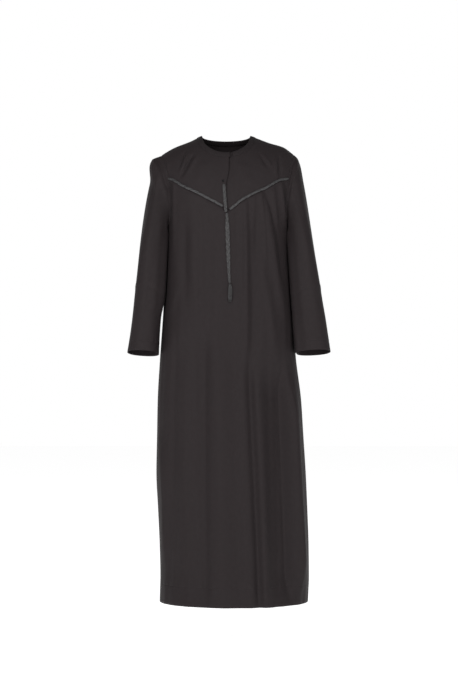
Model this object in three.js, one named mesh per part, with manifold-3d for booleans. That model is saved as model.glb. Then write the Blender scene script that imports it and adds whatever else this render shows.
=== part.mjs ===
// A long thobe of dark suiting, worn and empty: collarless neck, braided V over the yoke seam,
// a hanging tassel, long straight sleeves and an ankle-length skirt.
// Millimetres. +Z is up, the front faces -Y and +X is the side of the right-hand sleeve as seen
// from the front. The origin lies between the shoulders, level with their mean height.

import * as THREE from 'three';
import { mergeVertices } from 'three/addons/utils/BufferGeometryUtils.js';
import Module from 'manifold-3d';

const wasm = await Module();
wasm.setup();

// Cloth
const WALL = 2;
const SEAM_GAP = 0.3;
const TRIM_LIFT = 0.3;

// Heights. Above the chest a height counts the turn over the shoulder: CHEST is level with the
// widest chest section and SHOULDER is the ridge where front and back meet.
const SHOULDER = 0;
const CHEST = -230;
const UNDERARM = -285;
const HEM = -1404;

// Sections of the body, from the shoulder to the hem. left and right are the sides' distances
// from x = 0, front and back the depths from y = 0, and power is 2 for an ellipse, more for a
// squarer section.
const SECTIONS = [
  { height: 0, left: 219, right: 225, front: 130, back: 122, power: 2.5 },
  { height: -60, left: 215, right: 224, front: 130, back: 122, power: 2.5 },
  { height: -115, left: 206, right: 219, front: 130, back: 122, power: 2.5 },
  { height: -170, left: 193, right: 204, front: 130, back: 122, power: 2.5 },
  { height: -230, left: 186, right: 194, front: 130, back: 122, power: 2.5 },
  { height: -285, left: 183, right: 190, front: 132, back: 125, power: 2.5 },
  { height: -450, left: 190, right: 199, front: 137, back: 132, power: 2.5 },
  { height: -550, left: 196, right: 206, front: 140, back: 136, power: 2.5 },
  { height: -650, left: 203, right: 212, front: 144, back: 140, power: 2.4 },
  { height: -790, left: 211, right: 229, front: 150, back: 145, power: 2.4 },
  { height: -900, left: 213, right: 236, front: 155, back: 149, power: 2.3 },
  { height: -1010, left: 215, right: 243, front: 160, back: 153, power: 2.3 },
  { height: -1120, left: 210, right: 248, front: 165, back: 157, power: 2.2 },
  { height: -1230, left: 205, right: 252, front: 171, back: 161, power: 2.2 },
  { height: -1320, left: 203, right: 253, front: 176, back: 165, power: 2.1 },
  { height: -1404, left: 205, right: 250, front: 181, back: 168, power: 2.1 },
];

// The ridge of the shoulders, from the left-hand sleeve to the right-hand one.
const RIDGE = [
  { x: -230, z: -62 },
  { x: -211, z: -47 },
  { x: -180, z: -26 },
  { x: -155, z: -13 },
  { x: -111, z: 4 },
  { x: -76, z: 20 },
  { x: -38, z: 28 },
  { x: 0, z: 30 },
  { x: 38, z: 28 },
  { x: 74, z: 20 },
  { x: 133, z: -1 },
  { x: 173, z: -13 },
  { x: 207, z: -37 },
  { x: 230, z: -54 },
];

// The armhole, as the turn from the front centre at which a panel ends, in degrees.
const ARMHOLE = [
  { height: 0, turn: 64 },
  { height: -60, turn: 61 },
  { height: -115, turn: 59 },
  { height: -170, turn: 62 },
  { height: -230, turn: 68 },
  { height: -258, turn: 74 },
  { height: -276, turn: 81 },
  { height: -285, turn: 90 },
];

// Neck
const NECK_CENTRE_X = -1;
const NECK_HALF_WIDTH = 75;
const NECK_FRONT_Z = -38;
const NECK_BACK_Z = 8;
const BINDING_WIDTH = 14;
const BINDING_THICK = 1.2;
const BINDING_LIFT = 1;

// The seam between yoke and skirt, as it runs across the front.
const YOKE_SEAM = [
  { x: -215, z: -106 },
  { x: -183, z: -113 },
  { x: -165, z: -118 },
  { x: -130, z: -140 },
  { x: -93, z: -158 },
  { x: -54, z: -179 },
  { x: -13, z: -202 },
  { x: 0, z: -215 },
  { x: 28, z: -198 },
  { x: 42, z: -186 },
  { x: 82, z: -163 },
  { x: 118, z: -146 },
  { x: 163, z: -120 },
  { x: 190, z: -114 },
  { x: 220, z: -107 },
];

// The opening down the yoke: the edge of its upper half, and how far the other half runs under.
const PLACKET = [
  { z: -30, x: 8 },
  { z: -82, x: 8 },
  { z: -116, x: 3 },
  { z: -132, x: 0 },
  { z: -225, x: 0 },
];
const PLACKET_UNDERLAP = 24;
const PLACKET_DIP_WIDTH = 22;
const UNDERLAP_CLEAR = 1.5;

// Folds of the cloth that show most. Each is a soft ridge, or a trough where its rise is
// negative, along a line from its upper to its lower end as seen from the front or the back.
const FRONT_FOLDS = [
  { xUpper: -68, zUpper: -560, xLower: -66, zLower: -1440, width: 30, rise: -6 },
  { xUpper: 70, zUpper: -600, xLower: 108, zLower: -1500, width: 20, rise: -8 },
  { xUpper: 92, zUpper: -600, xLower: 124, zLower: -1500, width: 20, rise: 7 },
  { xUpper: 150, zUpper: -740, xLower: 172, zLower: -1440, width: 34, rise: -12 },
  { xUpper: 186, zUpper: -720, xLower: 226, zLower: -1420, width: 24, rise: 9 },
  { xUpper: 60, zUpper: -180, xLower: 62, zLower: -760, width: 15, rise: 5 },
  { xUpper: 86, zUpper: -160, xLower: 80, zLower: -720, width: 16, rise: -6 },
  { xUpper: 112, zUpper: -150, xLower: 176, zLower: -560, width: 15, rise: 5 },
  { xUpper: -128, zUpper: -200, xLower: -126, zLower: -520, width: 18, rise: -5 },
  { xUpper: -160, zUpper: -560, xLower: -176, zLower: -1400, width: 26, rise: 5 },
];
const BACK_FOLDS = [
  { xUpper: -96, zUpper: -150, xLower: -118, zLower: -1380, width: 26, rise: -9 },
  { xUpper: -48, zUpper: -420, xLower: -62, zLower: -1500, width: 30, rise: 7 },
  { xUpper: 8, zUpper: -330, xLower: 14, zLower: -1500, width: 26, rise: -7 },
  { xUpper: 70, zUpper: -480, xLower: 84, zLower: -1500, width: 28, rise: 7 },
  { xUpper: 104, zUpper: -170, xLower: 140, zLower: -1400, width: 26, rise: -10 },
  { xUpper: 158, zUpper: -700, xLower: 190, zLower: -1460, width: 24, rise: 6 },
  { xUpper: -158, zUpper: -640, xLower: -172, zLower: -1440, width: 24, rise: 6 },
];
// Folds fade in and out over FOLD_FADE mm, and towards the sides of the body, where the
// cosine of the turn falls below SIDE_FADE.
const FOLD_FADE = 140;
const SIDE_FADE = 0.45;

// Sleeves below the armhole. outer and inner are distances from x = 0 of the two sides, middle
// is the y of the section's middle, depth its half-depth, and tilt lowers its back and outer edge.
const LEFT_SLEEVE = [
  { height: -352, outer: 269, inner: 187, middle: -25, depth: 76, tilt: 0 },
  { height: -416, outer: 275, inner: 190, middle: -29, depth: 74, tilt: 2 },
  { height: -480, outer: 281, inner: 193, middle: -33, depth: 70, tilt: 4 },
  { height: -540, outer: 287, inner: 200, middle: -38, depth: 65, tilt: 6 },
  { height: -595, outer: 294, inner: 203.5, middle: -42, depth: 60, tilt: 8 },
  { height: -645, outer: 302, inner: 205.5, middle: -46, depth: 56, tilt: 9 },
];
const RIGHT_SLEEVE = [
  { height: -352, outer: 273, inner: 194.5, middle: -25, depth: 76, tilt: 0 },
  { height: -416, outer: 283, inner: 198.5, middle: -29, depth: 74, tilt: 2 },
  { height: -480, outer: 292, inner: 202.5, middle: -33, depth: 70, tilt: 4 },
  { height: -540, outer: 302, inner: 206.5, middle: -38, depth: 65, tilt: 6 },
  { height: -595, outer: 310, inner: 210.5, middle: -42, depth: 60, tilt: 8 },
  { height: -643, outer: 317, inner: 214, middle: -46, depth: 56, tilt: 9 },
];
const SLEEVE_POWER = 2.3;
const CAP_REACH = 95;
const CAP_FALL = 1.5;
const UNDERARM_REACH = 16;
const UNDERARM_TURN = 0.6;
const UNDERARM_CLEAR = 0.8;
const UNDERARM_NARROW = 4;
const CAP_CROWD = 1.3;
const SEAM_NORMAL_SHARE = 0.8;
const DIRECTION_STEP = 20;
const TILT_OUTWARD = 0.3;

// The head of a sleeve stands out beyond the shoulder: by how much, from how near the seam it
// does so in full, and how far down it ends.
const LEFT_SWELL = 18;
const RIGHT_SWELL = 3;
const SWELL_FULL = 16;
const SWELL_HOLD = 25;
const SWELL_END = 95;

// Creases of the sleeves, round from the outer side to the front, in degrees.
const SLEEVE_FOLDS = [
  { roundUpper: 158, roundLower: 162, upper: -250, lower: -590, width: 15, rise: 6 },
  { roundUpper: 60, roundLower: 40, upper: -360, lower: -640, width: 16, rise: 2.5 },
  { roundUpper: 110, roundLower: 80, upper: -352, lower: -600, width: 15, rise: -3 },
  { roundUpper: -60, roundLower: -90, upper: -352, lower: -620, width: 16, rise: 2.5 },
];

// Trims
const BRAID_WIDTH = 9.5;
const BRAID_THICK = 1.4;
const BRAID_RELIEF = 0.7;
const BRAID_REPEAT = 22;
const BRAID_SLANT = 1.15;
const LEFT_BRAID = { from: -176, to: -11 };
const RIGHT_BRAID = { from: 9, to: 188 };
const STEM_TOP_Z = -135;
const STEM_FOOT_Z = -221;
const STEM_TOP_X = -6;
const STEM_FOOT_X = 0;
const STEM_WIDTH = 11;
const BUTTON_X = -10;
const BUTTON_Z = -126;
const BUTTON_RADIUS = 3.4;
const BUTTON_FACE_RADIUS = 3.1;
const BUTTON_THICK = 2.4;

// The tassel's flat plait, from its loop under the V to its binding.
const PLAIT = [
  { z: -222, x: 1, width: 8 },
  { z: -243, x: 2, width: 10 },
  { z: -270, x: 3, width: 13.5 },
  { z: -360, x: 6, width: 13 },
  { z: -389, x: 7, width: 10 },
  { z: -425, x: 9, width: 8.5 },
  { z: -436, x: 10, width: 6.5 },
];
const PLAIT_THICK = 4;
const TUFT_HEAD_Z = -443.4;
const TUFT_X = 11;
const TUFT_HEAD_RADIUS = 4.2;
const TUFT_HALF_WIDTH = 7.2;
const TUFT_HALF_DEPTH = 3.6;
const TUFT_RINGS = [
  { strands: 6, reach: 0.42, foot: -496 },
  { strands: 14, reach: 1, foot: -493 },
];
const TUFT_LIFT = 5;
const TUFT_HEAD_FLAT = 0.85;
const TUFT_HEAD_LONG = 1.6;
const ROOT_SHARE = 0.7;
const ROOT_DROP = 2;
const STRAND_ROOT_RADIUS = 0.75;
const STRAND_FOOT_RADIUS = 0.58;

// Grid sizes
const SEAM_STEPS = 12;
const BACK_COLUMNS = 28;
const CAP_ROWS = 7;
const SLEEVE_ROWS = 9;
const SKIRT_STEP = 62;
const FRONT_NEAR_HEIGHTS = [-140, -175, -205, -230, -250, -264, -274, -281, -285, -305, -345];
const BACK_NEAR_HEIGHTS = [
  -18, -36, -56, -78, -102, -128, -155, -182, -208, -230, -250, -264, -274, -281, -285, -305, -345,
];
const ROW_SETTLE = 420;
const BACK_NECK_SHARE = 0.43;
const YOKE_ROW_SHARES = [0, 0.13, 0.26, 0.39, 0.5, 0.58, 0.64, 0.7, 0.77, 0.86, 0.94, 1];
const BINDING_STATIONS = 44;
const BINDING_CROWD = 0.4;
const BINDING_FROM = 82;
const BINDING_TO = -275;

// Steps of turn and height between which a surface's direction is read, and steps of a search
// for a place.
const TURN_STEP = 0.05;
const HEIGHT_STEP = 0.2;
const SEARCH_STEPS = 30;

const degrees = Math.PI / 180;
const { clamp, lerp, smoothstep } = THREE.MathUtils;

// Value of a column at a place between rows: a smooth curve that never overshoots its rows.
function read(rows, key, column, at) {
  const sorted = rows[0][key] < rows[rows.length - 1][key] ? rows : [...rows].reverse();
  const last = sorted.length - 1;
  if (at <= sorted[0][key]) return sorted[0][column];
  if (at >= sorted[last][key]) return sorted[last][column];
  const slope = (k) => (sorted[k + 1][column] - sorted[k][column]) / (sorted[k + 1][key] - sorted[k][key]);
  const tangent = (k) => {
    if (k === 0) return slope(0);
    if (k === last) return slope(last - 1);
    const [before, after] = [slope(k - 1), slope(k)];
    return before * after > 0 ? (2 * before * after) / (before + after) : 0;
  };
  let k = 0;
  while (at > sorted[k + 1][key]) k += 1;
  const span = sorted[k + 1][key] - sorted[k][key];
  const t = (at - sorted[k][key]) / span;
  return (
    sorted[k][column] * (1 + 2 * t) * (1 - t) ** 2 +
    tangent(k) * span * t * (1 - t) ** 2 +
    sorted[k + 1][column] * t * t * (3 - 2 * t) +
    tangent(k + 1) * span * t * t * (t - 1)
  );
}

const sectionAt = (height, column) => read(SECTIONS, 'height', column, height);
const ridgeAt = (x) => read(RIDGE, 'x', 'z', x);
const armholeAt = (height) => read(ARMHOLE, 'height', 'turn', height);

// Middle and half-width of the section at a height.
function spread(height) {
  const left = sectionAt(height, 'left');
  const right = sectionAt(height, 'right');
  return { middle: (right - left) / 2, half: (right + left) / 2 };
}

// Turn over the shoulder, from 0 at the chest to a right angle on the ridge.
const shoulderTurn = (height) => (90 * degrees * (height - CHEST)) / (SHOULDER - CHEST);

// A point of the smooth body. turn runs from 0 at the front centre to 90 at the right-hand side
// and 180 at the back centre, and is negative on the left. Past the shoulder ridge the surface
// goes on down the other face.
function smoothBody(turn, height) {
  if (height > SHOULDER) {
    return smoothBody(Math.sign(turn || 1) * 180 - turn, 2 * SHOULDER - height);
  }
  const power = sectionAt(height, 'power');
  const across = Math.sin(turn * degrees);
  const along = Math.cos(turn * degrees);
  const { middle, half } = spread(height);
  const x = middle + half * Math.sign(across) * Math.abs(across) ** (2 / power);
  const depth = sectionAt(height, along > 0 ? 'front' : 'back');
  let y = -depth * Math.sign(along) * Math.abs(along) ** (2 / power);
  let z = height;
  if (height > CHEST) {
    y *= Math.cos(shoulderTurn(height));
    z = CHEST + (ridgeAt(x) - CHEST) * Math.sin(shoulderTurn(height));
  }
  return new THREE.Vector3(x, y, z);
}

// Height at which the body's front or back passes a level z at a given x.
function heightAt(x, z) {
  if (z <= CHEST) return z;
  const share = clamp((z - CHEST) / (ridgeAt(x) - CHEST), 0, 1);
  return CHEST + ((SHOULDER - CHEST) * Math.asin(share)) / (90 * degrees);
}

// Turn of the front surface at a given x and height.
function turnAt(x, height) {
  const { middle, half } = spread(height);
  const share = clamp((x - middle) / half, -1, 1);
  const power = sectionAt(height, 'power');
  return (Math.sign(share) * Math.asin(Math.abs(share) ** (power / 2))) / degrees;
}

// Rise of all the folds at a point of the smooth body.
function foldRise(turn, point) {
  const facing = Math.cos(turn * degrees);
  const table = facing > 0 ? FRONT_FOLDS : BACK_FOLDS;
  let rise = 0;
  for (const fold of table) {
    const share = (fold.zUpper - point.z) / (fold.zUpper - fold.zLower);
    const upper = smoothstep(fold.zUpper - point.z, 0, FOLD_FADE);
    const lower = smoothstep(point.z - fold.zLower, 0, FOLD_FADE);
    const away = (point.x - lerp(fold.xUpper, fold.xLower, clamp(share, 0, 1))) / fold.width;
    rise += fold.rise * Math.exp(-away * away) * upper * lower;
  }
  return rise * smoothstep(Math.abs(facing), 0, SIDE_FADE);
}

function normalOf(surface, turn, height) {
  const across = surface(turn + TURN_STEP, height).sub(surface(turn - TURN_STEP, height));
  const up = surface(turn, height + HEIGHT_STEP).sub(surface(turn, height - HEIGHT_STEP));
  return across.cross(up).normalize();
}

// The draped surface: the smooth body with its folds.
function body(turn, height) {
  const point = smoothBody(turn, height);
  const normal = normalOf(smoothBody, turn, height);
  return point.addScaledVector(normal, foldRise(turn, point));
}

// A point of the front given by its x and z, moved out from the cloth by lift.
function onFront(x, z, lift) {
  const height = heightAt(x, z);
  const turn = turnAt(x, height);
  const normal = normalOf(body, turn, height);
  return body(turn, height).addScaledVector(normal, lift);
}

// Closed geometry from triangles of points that are shared by index.
function geometryOf(points, triangles) {
  const geometry = new THREE.BufferGeometry();
  const flat = points.flatMap((p) => [p.x, p.y, p.z]);
  geometry.setAttribute('position', new THREE.Float32BufferAttribute(flat, 3));
  geometry.setIndex(triangles);
  geometry.computeVertexNormals();
  return geometry;
}

// A wall between two grids of points, outer and inner. Rows run across and columns down; a
// closed wall's last column joins its first.
function wallBetween(outer, inner, closed = false) {
  const rows = outer.length;
  const columns = outer[0].length;
  const points = [...outer.flat(), ...inner.flat()];
  const triangles = [];
  const at = (side, row, column) => (side * rows + row) * columns + (column % columns);
  const quad = (a, b, c, d) => triangles.push(a, b, c, a, c, d);
  const spans = closed ? columns : columns - 1;
  for (let r = 0; r < rows - 1; r += 1) {
    for (let c = 0; c < spans; c += 1) {
      quad(at(0, r, c), at(0, r + 1, c), at(0, r + 1, c + 1), at(0, r, c + 1));
      quad(at(1, r, c), at(1, r, c + 1), at(1, r + 1, c + 1), at(1, r + 1, c));
    }
  }
  for (let c = 0; c < spans; c += 1) {
    quad(at(0, 0, c), at(0, 0, c + 1), at(1, 0, c + 1), at(1, 0, c));
    quad(at(0, rows - 1, c), at(1, rows - 1, c), at(1, rows - 1, c + 1), at(0, rows - 1, c + 1));
  }
  if (!closed) {
    const end = columns - 1;
    for (let r = 0; r < rows - 1; r += 1) {
      quad(at(0, r, 0), at(1, r, 0), at(1, r + 1, 0), at(0, r + 1, 0));
      quad(at(0, r, end), at(0, r + 1, end), at(1, r + 1, end), at(1, r, end));
    }
  }
  return geometryOf(points, triangles);
}

// A panel of the body: place(column share, row) gives the turn, the height and how far the
// panel lies under its neighbour.
function panel(columns, rows, place) {
  const outer = [];
  const inner = [];
  for (let r = 0; r < rows; r += 1) {
    const places = Array.from({ length: columns + 1 }, (_, c) => place(c / columns, r));
    const normals = places.map(({ turn, height }) => normalOf(body, turn, height));
    outer.push(places.map(({ turn, height, under = 0 }, c) =>
      body(turn, height).addScaledVector(normals[c], -under)));
    inner.push(places.map(({ turn, height, under = 0 }, c) =>
      body(turn, height).addScaledVector(normals[c], -under - WALL)));
  }
  return wallBetween(outer, inner);
}

// Edges of the panels, drawn back from the seams by half the seam gap. A radian of turn moves a
// point at the armhole SIDE_PACE times the half-width, and one over the shoulder RIDGE_PACE mm.
const SIDE_PACE = 0.4;
const RIDGE_PACE = 75;
const halfGap = SEAM_GAP / 2;
const sideEdge = (height) => armholeAt(height) - halfGap / (SIDE_PACE * spread(height).half * degrees);
const ridgeEdge = SHOULDER - (halfGap / (RIDGE_PACE * 90 * degrees)) * (SHOULDER - CHEST);
const seamAt = (x) => read(YOKE_SEAM, 'x', 'z', x);

// Height of the armhole's edge where the yoke seam meets it.
function seamEndHeight(side) {
  let height = CHEST / 2;
  for (let k = 0; k < SEARCH_STEPS; k += 1) {
    const { x } = smoothBody(side * sideEdge(height), height);
    height = heightAt(x, seamAt(x));
  }
  return height;
}

// Stations along the yoke seam from the left-hand armhole to the right-hand one, with one at
// the placket's edge and one where the half that runs under it ends.
function seamStations() {
  const endX = (side) => {
    const height = seamEndHeight(side);
    return smoothBody(side * sideEdge(height), height).x;
  };
  const between = (from, to, steps) => Array.from({ length: steps }, (_, k) => lerp(from, to, k / steps));
  return [
    ...between(endX(-1), -PLACKET_UNDERLAP, SEAM_STEPS),
    ...between(-PLACKET_UNDERLAP, 0, 2),
    ...between(0, endX(1), SEAM_STEPS + 2),
    endX(1),
  ];
}

const stations = seamStations();

// A station's place on the seam line, moved up or down by an offset.
function seamPlace(x, offset) {
  const height = heightAt(x, seamAt(x) + offset);
  return { turn: turnAt(x, height), height };
}

// Heights of a long panel's rows at its side, from its upper edge to the hem.
function rowHeights(upper, near) {
  const start = near[near.length - 1];
  const steps = Math.round((start - HEM) / SKIRT_STEP);
  const lower = Array.from({ length: steps }, (_, k) => lerp(start, HEM, (k + 1) / steps));
  return [upper, ...near, ...lower];
}

// Height of a row on a column whose upper end is higher or lower than the side's.
function settled(heights, row, top) {
  const fade = 1 - smoothstep(heights[0] - heights[row], 0, ROW_SETTLE);
  return heights[row] + (top - heights[0]) * fade;
}

const frontHeights = (side) => rowHeights(seamEndHeight(side) - halfGap, FRONT_NEAR_HEIGHTS);
const backHeights = () => rowHeights(ridgeEdge, BACK_NEAR_HEIGHTS);

function frontPanel() {
  const rows = frontHeights(1).length;
  const last = stations.length - 1;
  return panel(last, rows, (share, row) => {
    const k = Math.round(share * last);
    const side = stations[k] > 0 ? 1 : -1;
    const seam = seamPlace(stations[k], -halfGap);
    const reach = k === 0 || k === last ? side : seam.turn / sideEdge(seam.height);
    const heights = frontHeights(side);
    const top = Math.abs(reach) === 1 ? heights[0] : seam.height;
    const height = settled(heights, row, top);
    return { turn: reach * sideEdge(height), height };
  });
}

// A point of the neck edge, or of a line that runs beside it at a distance. Round the neck, 90 is
// the front centre, 0 the right-hand side, -90 the back centre and -180 the left-hand side.
function neckPoint(round, away) {
  const across = Math.cos(round * degrees);
  const along = Math.sin(round * degrees);
  const halfWidth = NECK_HALF_WIDTH + away;
  const sideZ = ridgeAt(NECK_CENTRE_X + Math.sign(across) * halfWidth);
  const centreZ = (along > 0 ? NECK_FRONT_Z : NECK_BACK_Z) - away;
  const x = NECK_CENTRE_X + halfWidth * across;
  const z = lerp(sideZ, centreZ, Math.abs(along));
  const height = heightAt(x, z);
  const frontTurn = turnAt(x, height);
  const turn = along > 0 ? frontTurn : Math.sign(across) * 180 - frontTurn;
  return { x, z, turn, height, frontTurn };
}

// Turn of the neck edge at a height on one side of the front.
function neckTurn(side, height) {
  let low = 0;
  let high = 90;
  for (let k = 0; k < SEARCH_STEPS; k += 1) {
    const middle = (low + high) / 2;
    if (neckPoint(side > 0 ? middle : 180 - middle, 0).height > height) low = middle;
    else high = middle;
  }
  return neckPoint(side > 0 ? low : 180 - low, 0).turn;
}

const placketAt = (z) => read(PLACKET, 'z', 'x', z);

// How far the right-hand yoke lies under the left-hand one.
function placketDip(x, z) {
  const share = smoothstep(x - placketAt(z), 2, PLACKET_DIP_WIDTH);
  return (1 - share) * (WALL + UNDERLAP_CLEAR);
}

// Heights of the yoke's rows at its armhole.
const yokeHeights = (side) =>
  YOKE_ROW_SHARES.map((share) => lerp(ridgeEdge, seamEndHeight(side) + halfGap, share));

// One half of the yoke. The left-hand one lies on top and ends at the placket's edge; the
// right-hand one runs on under it.
function yoke(side) {
  const onTop = side < 0;
  const neckHeight = neckPoint(90, 0).height;
  const inward = onTop ? -halfGap : -PLACKET_UNDERLAP;
  const innerTurn = (height) => {
    const level = Math.min(smoothBody(0, height).z, NECK_FRONT_Z);
    const edge = turnAt(placketAt(level) + inward, height);
    if (height <= neckHeight) return edge;
    const neck = neckTurn(side, height);
    return onTop ? Math.min(neck, edge) : Math.max(neck, edge);
  };
  const own = onTop ? stations.filter((x) => x <= 0) : stations.filter((x) => x >= -PLACKET_UNDERLAP);
  const last = own.length - 1;
  return panel(last, YOKE_ROW_SHARES.length, (share, row) => {
    const k = Math.round(share * last);
    const seam = seamPlace(own[k], halfGap);
    const inner = innerTurn(seam.height);
    const edge = side * sideEdge(seam.height);
    let reach = clamp((seam.turn - inner) / (edge - inner), 0, 1);
    if (k === 0 || k === last) reach = (k === 0) === onTop ? 1 : 0;
    const foot = reach === 1 ? seamEndHeight(side) + halfGap : seam.height;
    const height = lerp(ridgeEdge, foot, YOKE_ROW_SHARES[row]);
    const turn = lerp(innerTurn(height), side * sideEdge(height), reach);
    const { x, z } = smoothBody(turn, height);
    return { turn, height, under: onTop ? 0 : placketDip(x, z) };
  });
}

// The back in one piece, from both shoulders and the neck to the hem.
function backPanel() {
  const heights = backHeights();
  return panel(BACK_COLUMNS, heights.length, (share, row) => {
    const away = 1 - 2 * share;
    const side = Math.sign(away) || 1;
    const reach = Math.abs(away);
    let top = ridgeEdge;
    let topReach;
    if (reach > BACK_NECK_SHARE) {
      const corner = Math.abs(neckPoint(side > 0 ? 0 : 180, 0).frontTurn) / sideEdge(ridgeEdge);
      topReach = lerp(corner, 1, (reach - BACK_NECK_SHARE) / (1 - BACK_NECK_SHARE));
    } else {
      const round = -90 * (1 - reach / BACK_NECK_SHARE);
      const neck = neckPoint(side > 0 ? round : -180 - round, 0);
      top = Math.min(neck.height, ridgeEdge);
      topReach = (180 - Math.abs(neck.turn)) / sideEdge(top);
    }
    const height = settled(heights, row, top);
    const settle = smoothstep(top - height, 0, top - CHEST);
    return { turn: side * (180 - lerp(topReach, reach, settle) * sideEdge(height)), height };
  });
}

// The seam line of an armhole on one face, at the heights of the panels' rows: for each its
// share of the way from the shoulder to the underarm, and the direction in which the cloth
// leaves the body there.
function armhole(side, face) {
  const panelHeights = face > 0 ? [...yokeHeights(side), ...frontHeights(side).slice(1)] : backHeights();
  const heights = panelHeights.filter((height) => height >= UNDERARM);
  const turnOf = (height) => side * (face > 0 ? armholeAt(height) : 180 - armholeAt(height));
  const spots = heights.map((height) => body(turnOf(height), height));
  const lengths = [0];
  for (let k = 1; k < spots.length; k += 1) lengths.push(lengths[k - 1] + spots[k].distanceTo(spots[k - 1]));
  return heights.map((height, k) => {
    const before = spots[Math.max(k - 1, 0)];
    const after = spots[Math.min(k + 1, spots.length - 1)];
    const normal = normalOf(body, turnOf(height), height);
    const down = after.clone().sub(before);
    const leave = normal.clone().cross(down).multiplyScalar(side * face).normalize();
    return { point: spots[k], normal, leave, round: (face * 180 * lengths[k]) / lengths[spots.length - 1] };
  });
}

// A point of a sleeve's section. round is 0 at the outer side, 90 at the front.
function sleeveSection(side, rows, height, round) {
  const at = (column) => read(rows, 'height', column, height);
  const across = Math.cos(round * degrees);
  const along = Math.sin(round * degrees);
  const rounded = (value) => Math.sign(value) * Math.abs(value) ** (2 / SLEEVE_POWER);
  let rise = 0;
  for (const fold of SLEEVE_FOLDS) {
    const share = clamp((fold.upper - height) / (fold.upper - fold.lower), 0, 1);
    const off = round - lerp(fold.roundUpper, fold.roundLower, share);
    const away = (off - 360 * Math.round(off / 360)) / fold.width;
    const fade = Math.sin(Math.PI * share);
    rise += fold.rise * Math.exp(-away * away) * fade;
  }
  const halfWidth = (at('outer') - at('inner')) / 2 + rise;
  const x = side * ((at('outer') + at('inner')) / 2 + halfWidth * rounded(across));
  const y = at('middle') - (at('depth') + rise) * rounded(along);
  return new THREE.Vector3(x, y, height - at('tilt') * (rounded(-along) - TILT_OUTWARD * rounded(across)));
}

// A sleeve: a cap that leaves the armhole along the body's cloth and bends down, then a tube.
function sleeve(side, rows, swell) {
  const outer = [];
  const inner = [];
  const top = rows[0].height;
  const cuff = rows[rows.length - 1].height;
  const front = armhole(side, 1);
  const back = armhole(side, -1).slice(1, -1).reverse();
  const loop = side < 0 ? [...front, ...back] : [...front, ...back].reverse();
  const rounds = loop.map(({ round }) => round);
  const leaves = loop.map(({ point, normal, leave, round }) => {
    const low = (1 - Math.cos(round * degrees)) / 2;
    const turned = UNDERARM_TURN * low ** UNDERARM_NARROW;
    const away = leave.clone().lerp(new THREE.Vector3(side, 0, 0), turned).normalize();
    const start = point.addScaledVector(away, halfGap + UNDERARM_CLEAR * low ** UNDERARM_NARROW);
    const end = sleeveSection(side, rows, top, round);
    const next = sleeveSection(side, rows, top - DIRECTION_STEP, round).sub(end).normalize();
    const reach = lerp(CAP_REACH, UNDERARM_REACH, low);
    const fall = CAP_FALL * start.distanceTo(end);
    return { start, away, normal, end, next, reach, fall, high: 1 - low };
  });
  for (let r = 0; r <= CAP_ROWS; r += 1) {
    const t = (r / CAP_ROWS) ** CAP_CROWD;
    outer.push(leaves.map(({ start, away, end, next, reach, fall, high }) => {
      const point = new THREE.Vector3()
        .addScaledVector(start, (1 + 2 * t) * (1 - t) ** 2)
        .addScaledVector(away, reach * t * (1 - t) ** 2)
        .addScaledVector(end, t * t * (3 - 2 * t))
        .addScaledVector(next, fall * t * t * (t - 1));
      const from = point.distanceTo(start);
      const full = smoothstep(from, 0, SWELL_FULL) * (1 - smoothstep(from, SWELL_HOLD, SWELL_END));
      point.x += side * swell * high ** 2 * full;
      return point;
    }));
  }
  for (let r = 1; r <= SLEEVE_ROWS; r += 1) {
    const height = lerp(top, cuff, r / SLEEVE_ROWS);
    outer.push(rounds.map((round) => sleeveSection(side, rows, height, round)));
  }
  const last = outer.length - 1;
  outer.forEach((ring, r) => {
    inner.push(ring.map((point, c) => {
      const count = ring.length;
      const across = ring[(c + 1) % count].clone().sub(ring[(c + count - 1) % count]);
      const down = outer[Math.min(r + 1, last)][c].clone().sub(outer[Math.max(r - 1, 0)][c]);
      const normal = down.cross(across).normalize();
      if (r === 0) normal.lerp(leaves[c].normal, SEAM_NORMAL_SHARE).normalize();
      return point.clone().addScaledVector(normal, -WALL);
    }));
  });
  return wallBetween(outer, inner, true);
}

// The narrow band that finishes the neck edge, open at the placket.
function neckBinding() {
  const lines = (lifts) => lifts.map(({ away, lift }) =>
    Array.from({ length: BINDING_STATIONS + 1 }, (_, k) => {
      const even = lerp(BINDING_FROM, BINDING_TO, k / BINDING_STATIONS);
      const round = even - (BINDING_CROWD / degrees) * Math.sin(2 * even * degrees);
      const { x, z, turn, height } = neckPoint(round, away);
      const dip = k < BINDING_STATIONS / 4 ? placketDip(x, z) : 0;
      return body(turn, height).addScaledVector(normalOf(body, turn, height), lift - dip);
    }));
  const edge = { away: 0, lift: BINDING_LIFT + BINDING_THICK };
  const foot = { away: BINDING_WIDTH, lift: BINDING_LIFT + BINDING_THICK };
  const middle = { away: BINDING_WIDTH / 2, lift: BINDING_LIFT + BINDING_THICK };
  const under = (line) => ({ away: line.away, lift: BINDING_LIFT });
  return wallBetween(lines([edge, middle, foot]), lines([edge, middle, foot].map(under)));
}

// Section of a band: each point's share of the half-width and of the thickness.
const BAND_PROFILE = [
  { share: -1, rise: 0.7 },
  { share: -0.5, rise: 1 },
  { share: 0, rise: 1 },
  { share: 0.5, rise: 1 },
  { share: 1, rise: 0.7 },
];
const LINE_STEP = 0.001;

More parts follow.
